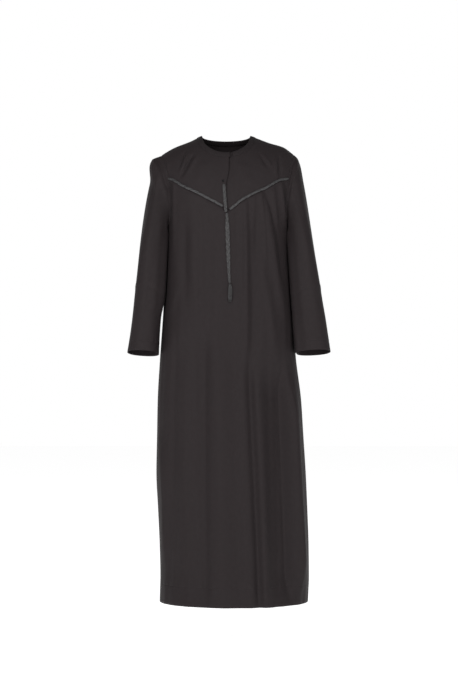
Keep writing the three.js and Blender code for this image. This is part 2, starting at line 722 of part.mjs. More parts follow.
// A band on the front along a line of x and z, with a motif raised in its outer points.
function band(line, steps) {
  const outer = [];
  const inner = [];
  for (let k = 0; k <= steps; k += 1) {
    const { x, z, width, thick, relief } = line(k / steps);
    const ahead = line(Math.min(1, k / steps + LINE_STEP));
    const behind = line(Math.max(0, k / steps - LINE_STEP));
    const run = Math.hypot(ahead.x - behind.x, ahead.z - behind.z);
    const acrossX = -(ahead.z - behind.z) / run;
    const acrossZ = (ahead.x - behind.x) / run;
    const spot = (share, lift) =>
      onFront(x + acrossX * share * width / 2, z + acrossZ * share * width / 2, lift);
    outer.push(BAND_PROFILE.map(({ share, rise }) => spot(share, TRIM_LIFT + thick * rise + relief(share))));
    inner.push(BAND_PROFILE.map(({ share }) => spot(share, TRIM_LIFT)));
  }
  return wallBetween(outer, inner);
}

// Leaves along a braid, two to a repeat, one on each side of its middle.
function leafRelief(distance) {
  const wave = Math.sin((2 * Math.PI * distance) / BRAID_REPEAT);
  return (share) => (Math.abs(share) === 1 ? 0 : BRAID_RELIEF * Math.max(0, share > 0 ? wave : -wave));
}

// Steps of a band between the points of its leaves.
const leafSteps = (length) => Math.round(Math.abs(length) / (BRAID_REPEAT / 4));

function braid(fromX, toX) {
  const reach = toX - fromX;
  const line = (share) => {
    const x = fromX + reach * share;
    const distance = Math.abs(reach * share) * BRAID_SLANT;
    return { x, z: seamAt(x), width: BRAID_WIDTH, thick: BRAID_THICK, relief: leafRelief(distance) };
  };
  return band(line, leafSteps(reach * BRAID_SLANT));
}

function braidStem() {
  const line = (share) => {
    const z = lerp(STEM_FOOT_Z, STEM_TOP_Z, share);
    const x = lerp(STEM_FOOT_X, STEM_TOP_X, share);
    const relief = leafRelief((STEM_TOP_Z - STEM_FOOT_Z) * share);
    return { x, z, width: STEM_WIDTH, thick: BRAID_THICK, relief };
  };
  return band(line, leafSteps(STEM_TOP_Z - STEM_FOOT_Z));
}

function tasselPlait() {
  const top = PLAIT[0].z;
  const foot = PLAIT[PLAIT.length - 1].z;
  const line = (share) => {
    const z = lerp(foot, top, share);
    const at = (column) => read(PLAIT, 'z', column, z);
    return { x: at('x'), z, width: at('width'), thick: PLAIT_THICK, relief: leafRelief(z) };
  };
  return band(line, leafSteps(top - foot));
}

const MERGE_DISTANCE = 1e-4;

// A closed solid for joining, from geometry whose points are merged.
function solidOf(geometry) {
  const bare = geometry.clone();
  bare.deleteAttribute('normal');
  bare.deleteAttribute('uv');
  const merged = mergeVertices(bare, MERGE_DISTANCE);
  return new wasm.Manifold(new wasm.Mesh({
    numProp: 3,
    vertProperties: new Float32Array(merged.attributes.position.array),
    triVerts: new Uint32Array(merged.index.array),
  }));
}

// The tassel's foot: a rounded head with strands that leave it apart from each other.
function tasselTuft() {
  const front = onFront(TUFT_X, TUFT_HEAD_Z, TUFT_LIFT);
  const low = onFront(TUFT_X, TUFT_RINGS[0].foot, TUFT_LIFT);
  const headGeometry = new THREE.SphereGeometry(TUFT_HEAD_RADIUS, 12, 8);
  headGeometry.scale(1, TUFT_HEAD_FLAT, TUFT_HEAD_LONG);
  headGeometry.translate(front.x, front.y, TUFT_HEAD_Z);
  let tuft = solidOf(headGeometry);
  for (const ring of TUFT_RINGS) {
    for (let k = 0; k < ring.strands; k += 1) {
      const round = (360 * degrees * (k + 0.5)) / ring.strands;
      const across = Math.cos(round) * ring.reach;
      const out = Math.sin(round) * ring.reach;
      const root = new THREE.Vector3(
        front.x + across * TUFT_HEAD_RADIUS * ROOT_SHARE,
        front.y + out * TUFT_HEAD_RADIUS * ROOT_SHARE * TUFT_HEAD_FLAT,
        TUFT_HEAD_Z - ROOT_DROP,
      );
      const foot = new THREE.Vector3(
        front.x + across * TUFT_HALF_WIDTH,
        low.y + out * TUFT_HALF_DEPTH,
        ring.foot,
      );
      const length = root.distanceTo(foot);
      const strand = new THREE.CylinderGeometry(STRAND_ROOT_RADIUS, STRAND_FOOT_RADIUS, length, 4);
      const middle = root.clone().add(foot).multiplyScalar(0.5);
      const turn = new THREE.Quaternion().setFromUnitVectors(
        new THREE.Vector3(0, -1, 0),
        foot.clone().sub(root).normalize(),
      );
      strand.applyQuaternion(turn);
      strand.translate(middle.x, middle.y, middle.z);
      tuft = tuft.add(solidOf(strand));
    }
  }
  const { vertProperties, triVerts } = tuft.getMesh();
  const geometry = new THREE.BufferGeometry();
  geometry.setAttribute('position', new THREE.Float32BufferAttribute(vertProperties, 3));
  geometry.setIndex([...triVerts]);
  geometry.computeVertexNormals();
  return geometry;
}

function button() {
  const seat = onFront(BUTTON_X, BUTTON_Z, TRIM_LIFT + BUTTON_THICK / 2);
  const inside = onFront(BUTTON_X, BUTTON_Z, 0);
  const geometry = new THREE.CylinderGeometry(BUTTON_FACE_RADIUS, BUTTON_RADIUS, BUTTON_THICK, 20);
  const turn = new THREE.Quaternion().setFromUnitVectors(
    new THREE.Vector3(0, 1, 0),
    seat.clone().sub(inside).normalize(),
  );
  geometry.applyQuaternion(turn);
  geometry.translate(seat.x, seat.y, seat.z);
  return geometry;
}

const cloth = { color: 0x332f30, roughness: 0.62, metalness: 0 };
const bindingCloth = { color: 0x2e2b2c, roughness: 0.66, metalness: 0 };
const braidThread = { color: 0x5a5a5b, roughness: 0.55, metalness: 0 };
const tasselThread = { color: 0x454445, roughness: 0.6, metalness: 0 };
const buttonResin = { color: 0x151415, roughness: 0.3, metalness: 0 };

const group = new THREE.Group();

function add(name, geometry, finish) {
  const mesh = new THREE.Mesh(geometry, new THREE.MeshStandardMaterial(finish));
  mesh.name = name;
  group.add(mesh);
}

add('front_panel', frontPanel(), cloth);
add('back_panel', backPanel(), cloth);
add('yoke_left', yoke(-1), cloth);
add('yoke_right', yoke(1), cloth);
add('sleeve_left', sleeve(-1, LEFT_SLEEVE, LEFT_SWELL), cloth);
add('sleeve_right', sleeve(1, RIGHT_SLEEVE, RIGHT_SWELL), cloth);
add('neck_binding', neckBinding(), bindingCloth);
add('braid_left', braid(LEFT_BRAID.from, LEFT_BRAID.to), braidThread);
add('braid_right', braid(RIGHT_BRAID.from, RIGHT_BRAID.to), braidThread);
add('braid_stem', braidStem(), braidThread);
add('tassel_plait', tasselPlait(), tasselThread);
add('tassel_tuft', tasselTuft(), tasselThread);
add('button', button(), buttonResin);

export default group;
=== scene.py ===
"""A long thobe of charcoal suiting, worn and empty: round collarless neck, braided V over the
yoke seam, a hanging plaited tassel, straight sleeves and an ankle-length skirt.

Sizes in the tables are millimetres, as a cutter works; meshes are made in metres. The front
faces -Y, +Z is up, and the origin lies between the shoulders."""

import math

import bpy
import numpy as np
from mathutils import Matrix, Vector


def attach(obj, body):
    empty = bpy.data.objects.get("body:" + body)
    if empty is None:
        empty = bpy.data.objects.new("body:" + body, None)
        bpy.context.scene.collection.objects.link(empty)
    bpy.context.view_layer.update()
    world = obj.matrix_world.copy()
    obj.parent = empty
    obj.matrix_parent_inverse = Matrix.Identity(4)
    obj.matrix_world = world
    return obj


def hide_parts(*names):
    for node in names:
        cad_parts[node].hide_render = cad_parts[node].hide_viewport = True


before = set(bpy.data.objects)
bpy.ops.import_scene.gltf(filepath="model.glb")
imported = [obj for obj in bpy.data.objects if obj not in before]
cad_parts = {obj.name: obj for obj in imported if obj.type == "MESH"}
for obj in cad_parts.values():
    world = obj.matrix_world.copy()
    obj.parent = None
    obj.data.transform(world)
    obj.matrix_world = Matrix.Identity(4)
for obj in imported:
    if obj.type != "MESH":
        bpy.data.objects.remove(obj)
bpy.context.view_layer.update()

MM = 0.001

# Heights. Above the chest a height counts the turn over the shoulder.
SHOULDER = 0.0
CHEST = -230.0
UNDERARM = -285.0
HEM = -1404.0
CLOTH_THICK = 1.1
SEAM_GAP = 0.3
# Depth of the body at the shoulder's ridge, which turns a distance there into a height.
RIDGE_DEPTH = 150.0


def table(columns, rows):
    """Rows of a table with named columns, sorted by the first one."""
    names = columns.split()
    values = np.array(sorted(rows), dtype=float)
    return {name: values[:, k] for k, name in enumerate(names)}


def read(rows, key, column, at):
    """Smooth curve through a table's rows that never overshoots them."""
    x, y = rows[key], rows[column]
    at = np.clip(np.asarray(at, dtype=float), x[0], x[-1])
    slope = np.diff(y) / np.diff(x)
    tangent = np.concatenate([slope[:1], np.zeros(len(x) - 2), slope[-1:]])
    before, after = slope[:-1], slope[1:]
    same = before * after > 0
    tangent[1:-1][same] = (2 * before * after)[same] / (before + after)[same]
    k = np.clip(np.searchsorted(x, at, side="right") - 1, 0, len(x) - 2)
    span = x[k + 1] - x[k]
    t = (at - x[k]) / span
    return (
        y[k] * (1 + 2 * t) * (1 - t) ** 2
        + tangent[k] * span * t * (1 - t) ** 2
        + y[k + 1] * t * t * (3 - 2 * t)
        + tangent[k + 1] * span * t * t * (t - 1)
    )


def smoothstep(value, low, high):
    t = np.clip((value - low) / (high - low), 0, 1)
    return t * t * (3 - 2 * t)


def mix(a, b, share):
    return a + (b - a) * share


def bell(distance, width):
    """1 at no distance, and falls off evenly on both sides."""
    return np.exp(-((distance / width) ** 2))


def unit(vectors):
    return vectors / np.linalg.norm(vectors, axis=-1, keepdims=True)


def over_ridge(distance):
    """Height that a short distance over the shoulder's ridge makes."""
    return distance / RIDGE_DEPTH / math.radians(90) * (SHOULDER - CHEST)


# Sections of the body: distances of the sides from x = 0, depths from y = 0, and the power of
# the section's outline, 2 for an ellipse.
SECTIONS = table(
    "height left right front back power",
    [
        (0, 219, 225, 130, 122, 2.5),
        (-60, 215, 224, 130, 122, 2.5),
        (-115, 206, 219, 130, 122, 2.5),
        (-170, 193, 204, 130, 122, 2.5),
        (-230, 186, 194, 130, 122, 2.5),
        (-285, 183, 190, 132, 125, 2.5),
        (-450, 190, 199, 137, 132, 2.5),
        (-550, 196, 206, 140, 136, 2.5),
        (-650, 203, 212, 144, 140, 2.4),
        (-790, 211, 229, 150, 145, 2.4),
        (-900, 213, 236, 155, 149, 2.3),
        (-1010, 215, 243, 160, 153, 2.3),
        (-1120, 210, 248, 165, 157, 2.2),
        (-1230, 205, 252, 171, 161, 2.2),
        (-1320, 203, 253, 176, 165, 2.1),
        (-1404, 205, 250, 181, 168, 2.1),
    ],
)

# The ridge of the shoulders, from the left sleeve to the right one.
RIDGE = table(
    "x z",
    [
        (-230, -62), (-211, -47), (-180, -26), (-155, -13), (-111, 4), (-76, 20),
        (-38, 28), (0, 30), (38, 28), (74, 20), (133, -1), (173, -13), (207, -37),
        (230, -54),
    ],
)

# The turn at which each armhole cuts the body.
ARMHOLE = table(
    "height turn",
    [
        (0, 64), (-60, 61), (-115, 59), (-170, 62), (-230, 68), (-258, 74), (-276, 81),
        (-285, 90),
    ],
)

YOKE_SEAM = table(
    "x z",
    [
        (-215, -106), (-183, -113), (-165, -118), (-130, -140), (-93, -158), (-54, -179),
        (-13, -202), (0, -215), (28, -198), (42, -186), (82, -163), (118, -146),
        (163, -120), (190, -114), (220, -107),
    ],
)

# The placket's outer edge, and the underlap that lies deeper behind it and narrows at the neck.
PLACKET = table("z x", [(-30, 8), (-82, 8), (-116, 3), (-132, 0), (-225, 0)])
PLACKET_UNDERLAP = 24.0
PLACKET_DIP_FROM = 2.0
PLACKET_DIP_WIDTH = 22.0
UNDERLAP_DEPTH = 3.5
UNDERLAP_TAPER = 60.0
UNDERLAP_NARROWING = 0.62
# The facing folded back along the placket's edge, held by a line of stitches.
FACING_RISE = 0.9
FACING_EDGE = (8.0, 11.0)
FACING_STITCH_DENT = 0.6
FACING_STITCH_WIDTH = 1.2

NECK_CENTRE_X = -1.0
NECK_HALF_WIDTH = 75.0
NECK_FRONT_Z = -38.0
NECK_BACK_Z = 8.0

# Folds: a ridge, or a trough where the rise is negative. A row holds x and z of its upper end,
# its middle and its lower end, the widths of its left and right side, unequal in a crease, and
# its rise.
FRONT_FOLDS = [
    (-67, -520, -70, -1000, -66, -1460, 56, 20, -12.0),
    (66, -590, 82, -960, 107, -1500, 13, 18, -8.0),
    (84, -640, 102, -1000, 122, -1500, 12, 22, 9.0),
    (166, -640, 180, -1040, 198, -1440, 64, 15, -22.0),
    (196, -700, 212, -1025, 234, -1400, 13, 15, 13.0),
    (59, -175, 60, -430, 60, -740, 12, 14, 5.0),
    (92, -165, 82, -480, 74, -720, 14, 17, -6.0),
    (112, -152, 152, -400, 182, -580, 15, 12, 5.0),
    (88, -300, 128, -500, 160, -720, 11, 14, 3.0),
    (-125, -190, -127, -360, -124, -530, 17, 15, -5.0),
    (-97, -170, -96, -360, -92, -560, 14, 16, 2.4),
    (-76, -260, -77, -420, -80, -620, 10, 12, -2.0),
    (-128, -390, -155, -470, -186, -570, 14, 10, 3.0),
    (-150, -560, -168, -1100, -172, -1400, 18, 30, -6.0),
    (-204, -860, -188, -1120, -196, -1320, 11, 14, 5.0),
    (-20, -620, -14, -1000, -16, -1460, 24, 40, 4.0),
    (24, -560, 34, -1040, 44, -1470, 24, 14, -4.5),
    (148, -170, 160, -330, 166, -470, 9, 11, -3.0),
    (-30, -215, -32, -420, -40, -640, 12, 14, -1.6),
]
BACK_FOLDS = [
    (-96, -150, -104, -700, -118, -1420, 26, 20, -9.0),
    (-128, -230, -136, -700, -150, -1300, 18, 22, 4.0),
    (-48, -420, -54, -900, -62, -1500, 30, 24, 7.0),
    (8, -330, 8, -900, 14, -1500, 26, 30, -7.0),
    (70, -480, 74, -900, 84, -1500, 28, 22, 7.0),
    (104, -170, 118, -760, 140, -1420, 22, 26, -10.0),
    (158, -700, 170, -1040, 190, -1460, 24, 20, 6.0),
    (-158, -640, -164, -1000, -172, -1440, 24, 20, 6.0),
    (-20, -60, -12, -210, -6, -380, 22, 20, -2.5),
    (60, -60, 84, -150, 104, -280, 16, 12, -2.5),
    (-62, -60, -88, -150, -106, -280, 12, 16, -2.5),
]
# Short creases that run from the sleeve seams over the shoulders and the chest.
YOKE_CREASES = [
    (-127, -24, -134, -56, -143, -96, 6, 4, -5.0),
    (-99, -34, -119, -72, -141, -118, 4, 6, -6.0),
    (-113, -26, -127, -62, -142, -106, 6, 6, 3.6),
    (-84, -36, -100, -66, -116, -104, 6, 6, 2.2),
    (97, -34, 112, -60, 128, -92, 5, 6, -3.2),
    (107, -32, 124, -58, 140, -88, 6, 5, 2.0),
    (158, -34, 160, -74, 161, -118, 4, 6, -4.2),
    (149, -36, 150, -74, 150, -114, 6, 5, 2.4),
    (-60, -52, -72, -90, -86, -140, 18, 16, 1.8),
    (44, -60, 56, -100, 66, -150, 16, 18, 1.6),
    (-178, -52, -180, -80, -178, -112, 7, 7, 2.4),
]
# Folds that the yoke seam and the armholes let go at once.
GATHERS = [
    (57, -178, 58, -330, 60, -560, 7, 7, 1.8),
    (69, -170, 70, -330, 72, -520, 7, 7, -2.4),
    (80, -164, 83, -300, 86, -500, 7, 8, 2.2),
    (103, -152, 112, -260, 122, -420, 8, 5, 3.2),
    (112, -148, 134, -209, 156, -330, 5, 8, -4.6),
    (139, -136, 150, -220, 166, -360, 7, 6, 2.6),
    (164, -122, 176, -224, 186, -330, 8, 3.5, 6.0),
    (178, -122, 187, -224, 194, -330, 4, 6, -3.0),
    (-176, -124, -176, -230, -177, -340, 7, 9, -5.0),
    (-160, -124, -160, -240, -164, -400, 7, 7, 3.0),
    (-110, -150, -112, -300, -122, -520, 12, 12, 1.1),
    (-60, -178, -60, -300, -64, -480, 12, 12, 0.8),
    (-78, -168, -80, -300, -88, -480, 11, 12, -1.0),
    (28, -200, 28, -330, 26, -500, 7, 7, -1.8),
]
GATHER_FADE = 14.0
FOLD_STRENGTH = 1.3
FOLD_FADE = 140.0
CREASE_FADE = 26.0
# Folds die out towards the sides of the body, where the cosine of the turn falls below this.
SIDE_FADE = 0.45
# Long shallow waves all round: height, waves in a radian, drift for each metre down, start.
RIPPLES = [(0.55, 23, 2.1, 0.4), (0.4, 37, -3.3, 1.9), (0.3, 9, 5.1, 0.0)]
# Metres below the shoulders at which the waves begin and at which they are full.
RIPPLE_FROM, RIPPLE_FULL = 0.2, 0.9

LEFT_SLEEVE = table(
    "height outer inner middle depth tilt",
    [
        (-352, 269, 187, -25, 76, 0),
        (-416, 275, 190, -29, 74, 2),
        (-480, 281, 193, -33, 70, 4),
        (-540, 287, 200, -38, 65, 6),
        (-595, 294, 203.5, -42, 60, 8),
        (-645, 302, 205.5, -46, 56, 9),
    ],
)
RIGHT_SLEEVE = table(
    "height outer inner middle depth tilt",
    [
        (-352, 273, 194.5, -25, 76, 0),
        (-416, 283, 198.5, -29, 74, 2),
        (-480, 292, 202.5, -33, 70, 4),
        (-540, 302, 206.5, -38, 65, 6),
        (-595, 310, 210.5, -42, 60, 8),
        (-643, 317, 214, -46, 56, 9),
    ],
)
SLEEVE_POWER = 2.3
# Share of a section's tilt that also tips it outward.
TILT_OUTWARD = 0.3
DIRECTION_STEP = 20.0
# The cap's rows crowd towards the armhole by this power, and its lines set off from the seam
# and arrive at the tube with these pulls.
CAP_CROWD = 1.3
CAP_REACH = 95.0
CAP_FALL = 1.5
UNDERARM_REACH = 16.0
UNDERARM_TURN = 0.6
UNDERARM_CLEAR = 0.8
# How far the head of each sleeve stands out beyond the shoulder, from how near the seam it
# does so in full, and how far down it ends.
LEFT_SWELL = 18.0
RIGHT_SWELL = 3.0
SWELL_FULL = 16.0
SWELL_HOLD = 25.0
SWELL_END = 95.0

# Creases of a sleeve: turn and share of the way to the cuff at which each begins and ends, its
# width in degrees, and its rise. A turn is 0 at the sleeve's outer side and 90 at its front.
SLEEVE_CREASES = [
    (52, 0.16, 34, 0.96, 16, 2.6),
    (112, 0.2, 84, 0.92, 15, -3.0),
    (-62, 0.2, -92, 0.95, 16, 2.6),
    (84, 0.08, 66, 0.55, 12, 2.0),
    (20, 0.12, 8, 0.7, 14, -1.8),
    (150, 0.55, 60, 0.64, 13, -1.8),
    (70, 0.62, -10, 0.7, 12, 1.4),
    (-20, 0.5, -110, 0.62, 16, -2.2),
    (-140, 0.45, -60, 0.58, 15, 1.8),
    (-120, 0.15, -140, 0.8, 18, -2.4),
    (170, 0.66, 90, 0.76, 12, -1.4),
]

# The front of a sleeve's inner side laps over the side of the body, down to a level.
LAP_RISE = 10.5
LAP_TURN = 155.0
LAP_WIDTH = 17.0
LAP_START = (3.0, 26.0)
LEFT_LAP = (440.0, 600.0)
RIGHT_LAP = (640.0, 760.0)

# A groove runs beside the seam of each sleeve's head: its distance from the seam on top of the
# shoulder and level with the chest.
HEAD_GROOVE = {-1: (24.0, 7.0), 1: (14.0, 8.0)}
HEAD_GROOVE_DEPTH = 3.4
HEAD_GROOVE_WIDTH = 5.0
HEAD_RIDGE_AWAY = 11.0
HEAD_RIDGE_WIDTH = 8.0
# Turns, from the shoulder down, over which the groove comes and goes.
HEAD_GROOVE_FROM = (4.0, 20.0)
HEAD_GROOVE_TO = (70.0, 105.0)

# Stitch lines above the hem's and the cuffs' edges, and the puckers that run off them.
HEM_STITCH_RISE = 57.0
CUFF_STITCH_RISE = 29.0
STITCH_DENT = 0.5
STITCH_WIDTH = 1.6
PUCKER_RISE = 0.7
CUFF_STITCH_DENT = 0.6
CUFF_PUCKER_RISE = 0.5
# How far the puckers reach from a stitch line, on its upper and on its hemmed side.
PUCKER_ABOVE = 14.0
PUCKER_BELOW = 6.0
# Length of hem and of cuff for a radian of turn.
HEM_PACE = 200.0
CUFF_PACE = 70.0
CENTIMETRE = 10.0
# Width of side panel for a degree of turn.
SIDE_PACE = 3.2
# The valley at a seam: how deep, how wide.
SHOULDER_VALLEY = (0.5, 2.0)
SHOULDER_PACE = 0.8
ARMHOLE_VALLEY = (0.7, 2.2)
INNER_SEAM_VALLEY = (0.5, 1.6)
# Each seam is lapped: the edge of the hidden panel runs on under the other one's.
SEAM_LAP = 2.2
LAP_DEPTH = 1.5
LAP_TAPER = 12.0


def section_at(height, column):
    return read(SECTIONS, "height", column, height)


def ridge_at(x):
    return read(RIDGE, "x", "z", x)


def armhole_at(height):
    return read(ARMHOLE, "height", "turn", height)


def spread(height):
    left, right = section_at(height, "left"), section_at(height, "right")
    return (right - left) / 2, (right + left) / 2


def smooth_body(turn, height):
    """Point of the unfolded body: turn 0 is the front centre, 90 the right-hand side."""
    turn, height = np.broadcast_arrays(np.asarray(turn, float), np.asarray(height, float))
    past = height > SHOULDER
    flipped = np.where(turn < 0, -180.0, 180.0) - turn
    turn = np.where(past, flipped, turn)
    height = np.where(past, 2 * SHOULDER - height, height)
    power = section_at(height, "power")
    across, along = np.sin(np.radians(turn)), np.cos(np.radians(turn))
    middle, half = spread(height)
    x = middle + half * np.sign(across) * np.abs(across) ** (2 / power)
    depth = np.where(along > 0, section_at(height, "front"), section_at(height, "back"))
    y = -depth * np.sign(along) * np.abs(along) ** (2 / power)
    over = np.radians(90) * (height - CHEST) / (SHOULDER - CHEST)
    upper = height > CHEST
    y = np.where(upper, y * np.cos(over), y)
    z = np.where(upper, CHEST + (ridge_at(x) - CHEST) * np.sin(over), height)
    return np.stack([x, y, z], axis=-1)


def height_at(x, z):
    share = np.clip((z - CHEST) / (ridge_at(x) - CHEST), 0, 1)
    turned = CHEST + (SHOULDER - CHEST) * np.arcsin(share) / np.radians(90)
    return np.where(z <= CHEST, z, turned)


def turn_at(x, height):
    middle, half = spread(height)
    share = np.clip((x - middle) / half, -1, 1)
    power = section_at(height, "power")
    return np.degrees(np.sign(share) * np.arcsin(np.abs(share) ** (power / 2)))


def rise_of(folds, point, fade, lower_fade=None):
    """Rise of a list of folds at points of the body."""
    x, z = point[..., 0], point[..., 2]
    rise = np.zeros_like(x)
    for row in folds:
        x_upper, z_upper, x_middle, z_middle, x_lower, z_lower, left, right, height = row
        line = table("z x", [(z_upper, x_upper), (z_middle, x_middle), (z_lower, x_lower)])
        off = x - read(line, "z", "x", z)
        away = off / np.where(off < 0, left, right)
        ends = smoothstep(z_upper - z, 0, fade) * smoothstep(z - z_lower, 0, lower_fade or fade)
        rise += height * np.exp(-away * away) * ends
    return rise


def ripple(point, turn):
    """Slight unevenness of hanging cloth: long shallow waves that drift as they fall."""
    along = np.radians(turn)
    z = point[..., 2] * MM
    waves = sum(a * np.sin(count * along + drift * z + start) for a, count, drift, start in RIPPLES)
    return waves * smoothstep(-z, RIPPLE_FROM, RIPPLE_FULL)


def fold_rise(turn, point):
    facing = np.cos(np.radians(turn))
    front = (
        FOLD_STRENGTH * rise_of(FRONT_FOLDS, point, FOLD_FADE)
        + rise_of(YOKE_CREASES, point, CREASE_FADE)
        + rise_of(GATHERS, point, GATHER_FADE, FOLD_FADE)
    )
    back = FOLD_STRENGTH * rise_of(BACK_FOLDS, point, FOLD_FADE)
    rise = np.where(facing > 0, front, back)
    return (rise + ripple(point, turn)) * smoothstep(np.abs(facing), 0, SIDE_FADE)


TURN_STEP = 0.05
HEIGHT_STEP = 0.2


def normal_of(surface, turn, height):
    across = surface(turn + TURN_STEP, height) - surface(turn - TURN_STEP, height)
    up = surface(turn, height + HEIGHT_STEP) - surface(turn, height - HEIGHT_STEP)
    return unit(np.cross(across, up))


def body(turn, height):
    """The draped surface of the body."""
    point = smooth_body(turn, height)
    normal = normal_of(smooth_body, turn, height)
    return point + normal * fold_rise(turn, point)[..., None]


def raised(turn, height, rise):
    """Points above the draped surface."""
    return body(turn, height) + normal_of(body, turn, height) * np.asarray(rise)[..., None]


def on_front(x, z, lift):
    x, z = np.broadcast_arrays(np.asarray(x, float), np.asarray(z, float))
    height = height_at(x, z)
    return raised(turn_at(x, height), height, lift)


def cumulative(points, axis):
    """Length run along a grid of points, in metres, for a cloth's UV map."""
    steps = np.linalg.norm(np.diff(points, axis=axis), axis=-1)
    start = np.zeros_like(np.take(steps, [0], axis=axis))
    return np.concatenate([start, np.cumsum(steps, axis=axis)], axis=axis) * MM


def deselect():
    bpy.ops.object.select_all(action="DESELECT")


def cloth_grid(name, points, closed=False):
    """A grid primitive laid over rows of points, with its UV map in metres of cloth; on a
    closed one the last column is sewn to the first."""
    rows, columns = points.shape[:2]
    if closed:
        points[:, -1] = points[:, 0]
    deselect()
    bpy.ops.mesh.primitive_grid_add(
        x_subdivisions=columns - 1, y_subdivisions=rows - 1, size=1, calc_uvs=True
    )
    piece = bpy.context.object
    piece.name = piece.data.name = name
    across, along = cumulative(points, 1), cumulative(points, 0)
    middle = across[:, [columns // 2]]
    uv = np.stack([across - middle, along], axis=-1).reshape(-1, 2)
    mesh = piece.data
    mesh.vertices.foreach_set("co", (points.reshape(-1, 3) * MM).ravel())
    corners = np.empty(len(mesh.loops), dtype=np.int32)
    mesh.loops.foreach_get("vertex_index", corners)
    mesh.uv_layers.active.data.foreach_set("uv", uv[corners].ravel())
    mesh.update()
    if closed:
        bpy.ops.object.mode_set(mode="EDIT")
        bpy.ops.mesh.select_all(action="SELECT")
        bpy.ops.mesh.remove_doubles(threshold=1e-6)
        bpy.ops.object.mode_set(mode="OBJECT")
    bpy.ops.object.shade_smooth()
    return piece


def give_thickness(piece, thick, offset=-1.0):
    """A wall of even thickness under the piece's outer face."""
    wall = piece.modifiers.new("thickness", "SOLIDIFY")
    wall.thickness = thick * MM
    wall.offset = offset
    wall.use_even_offset = False
    wall.use_rim = True
    bpy.context.view_layer.objects.active = piece
    bpy.ops.object.modifier_apply(modifier=wall.name)


def finish_cloth(piece, node, material):
    piece.data.materials.append(material)
    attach(piece, "root")
    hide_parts(node)


def side_edge(height):
    """Turn of a panel's side edge, half a gap short of the seam."""
    short = (SEAM_GAP / 2 / section_at(height, "back")) ** (section_at(height, "power") / 2)
    return armhole_at(height) - np.degrees(short)


RIDGE_EDGE = SHOULDER - over_ridge(SEAM_GAP)


def seam_end_height(side):
    height = CHEST / 2
    for _ in range(20):
        x = smooth_body(side * side_edge(height), height)[..., 0]
        height = height_at(x, read(YOKE_SEAM, "x", "z", x))
    return float(height)


def seam_end_x(side):
    height = seam_end_height(side)
    return float(smooth_body(side * side_edge(height), height)[..., 0])


def seam_place(x, offset):
    height = height_at(x, read(YOKE_SEAM, "x", "z", x) + offset)
    return turn_at(x, height), height


def placket_dip(x, z):
    behind = x - read(PLACKET, "z", "x", z)
    share = smoothstep(behind, PLACKET_DIP_FROM, PLACKET_DIP_WIDTH)
    return (1 - share) * UNDERLAP_DEPTH


def stitch_line(distance, along, depth, puckers):
    """A pressed stitch line with the small uneven puckers that run off it, some 2 cm apart."""
    dent = -depth * bell(distance, STITCH_WIDTH)
    run = along / CENTIMETRE
    uneven = 0.55 + 0.45 * np.sin(run * 0.37 + 1.3) * np.sin(run * 0.11)
    wave = np.sin(run * 3.3 + 1.7 * np.sin(run * 0.9)) * uneven
    above = bell(np.maximum(distance, 0), PUCKER_ABOVE)
    below = bell(np.minimum(distance, 0), PUCKER_BELOW)
    return dent + puckers * wave * above * below


def hem_stitches(turn, height):
    above, along = height - HEM - HEM_STITCH_RISE, np.radians(turn) * HEM_PACE
    return stitch_line(above, along, STITCH_DENT, PUCKER_RISE)


def seam_valley(distance, depth=0.9, width=2.6):
    """The cloth turns in at a seam."""
    return -depth * bell(distance, width)


FRONT_COLUMNS = 210
FRONT_ROWS = 214
BACK_COLUMNS = 170
BACK_ROWS = 236
YOKE_COLUMNS = 84
YOKE_WIDTH = 150.0
YOKE_ROWS = 84
SLEEVE_COLUMNS = 112
CAP_ROWS = 70
SLEEVE_ROWS = 84
# The height at which the front's columns are evenly spread, and how far down the rows take to
# run level.
GIRTH_LEVEL = -700.0
SETTLE_REACH = 420.0


def spaced_rows(count, upper, lower, stitch, closeness=8.8, reach=20.0):
    """Heights from the upper to the lower end, closer together round a stitch line."""
    even = np.linspace(upper, lower, 4000)
    weight = 1 + closeness * bell(even - stitch, reach)
    run = np.concatenate([[0], np.cumsum((weight[1:] + weight[:-1]) / 2)])
    return np.interp(np.linspace(0, run[-1], count), run, even)


def settled(heights, top):
    """Heights of the rows on columns whose upper ends differ from the side's."""
    fade = 1 - smoothstep(heights[0] - heights, 0, SETTLE_REACH)
    return heights[:, None] + (top[None, :] - heights[0]) * fade[:, None]


def front_columns():
    """Columns of the front panel, evenly spread over its girth: the x of each at the yoke seam
    and how far round towards the side seam it lies."""
    sweep = (1 - np.cos(np.linspace(0, np.pi, 1200))) / 2
    xs = mix(seam_end_x(-1), seam_end_x(1), sweep)
    turn, top = seam_place(xs, -SEAM_GAP / 2)
    reach = turn / side_edge(top)
    reach[0], reach[-1] = -1, 1
    girth = cumulative(smooth_body(reach * side_edge(GIRTH_LEVEL), GIRTH_LEVEL), 0)
    wanted = np.linspace(0, girth[-1], FRONT_COLUMNS)
    return np.interp(wanted, girth, xs), np.interp(wanted, girth, reach)


def front_panel():
    xs, reach = front_columns()
    _, top = seam_place(xs, -SEAM_GAP / 2)
    upper = (seam_end_height(-1) + seam_end_height(1)) / 2 - SEAM_GAP / 2
    heights = spaced_rows(FRONT_ROWS, upper, HEM, HEM + HEM_STITCH_RISE)
    height = settled(heights, top)[::-1]
    turn = reach[None, :] * side_edge(height)
    rise = hem_stitches(turn, height)
    rise += seam_valley(top[None, :] - height)
    rise += seam_valley((1 - np.abs(reach[None, :])) * side_edge(height) * SIDE_PACE)
    return cloth_grid("front_cloth", raised(turn, height, rise))


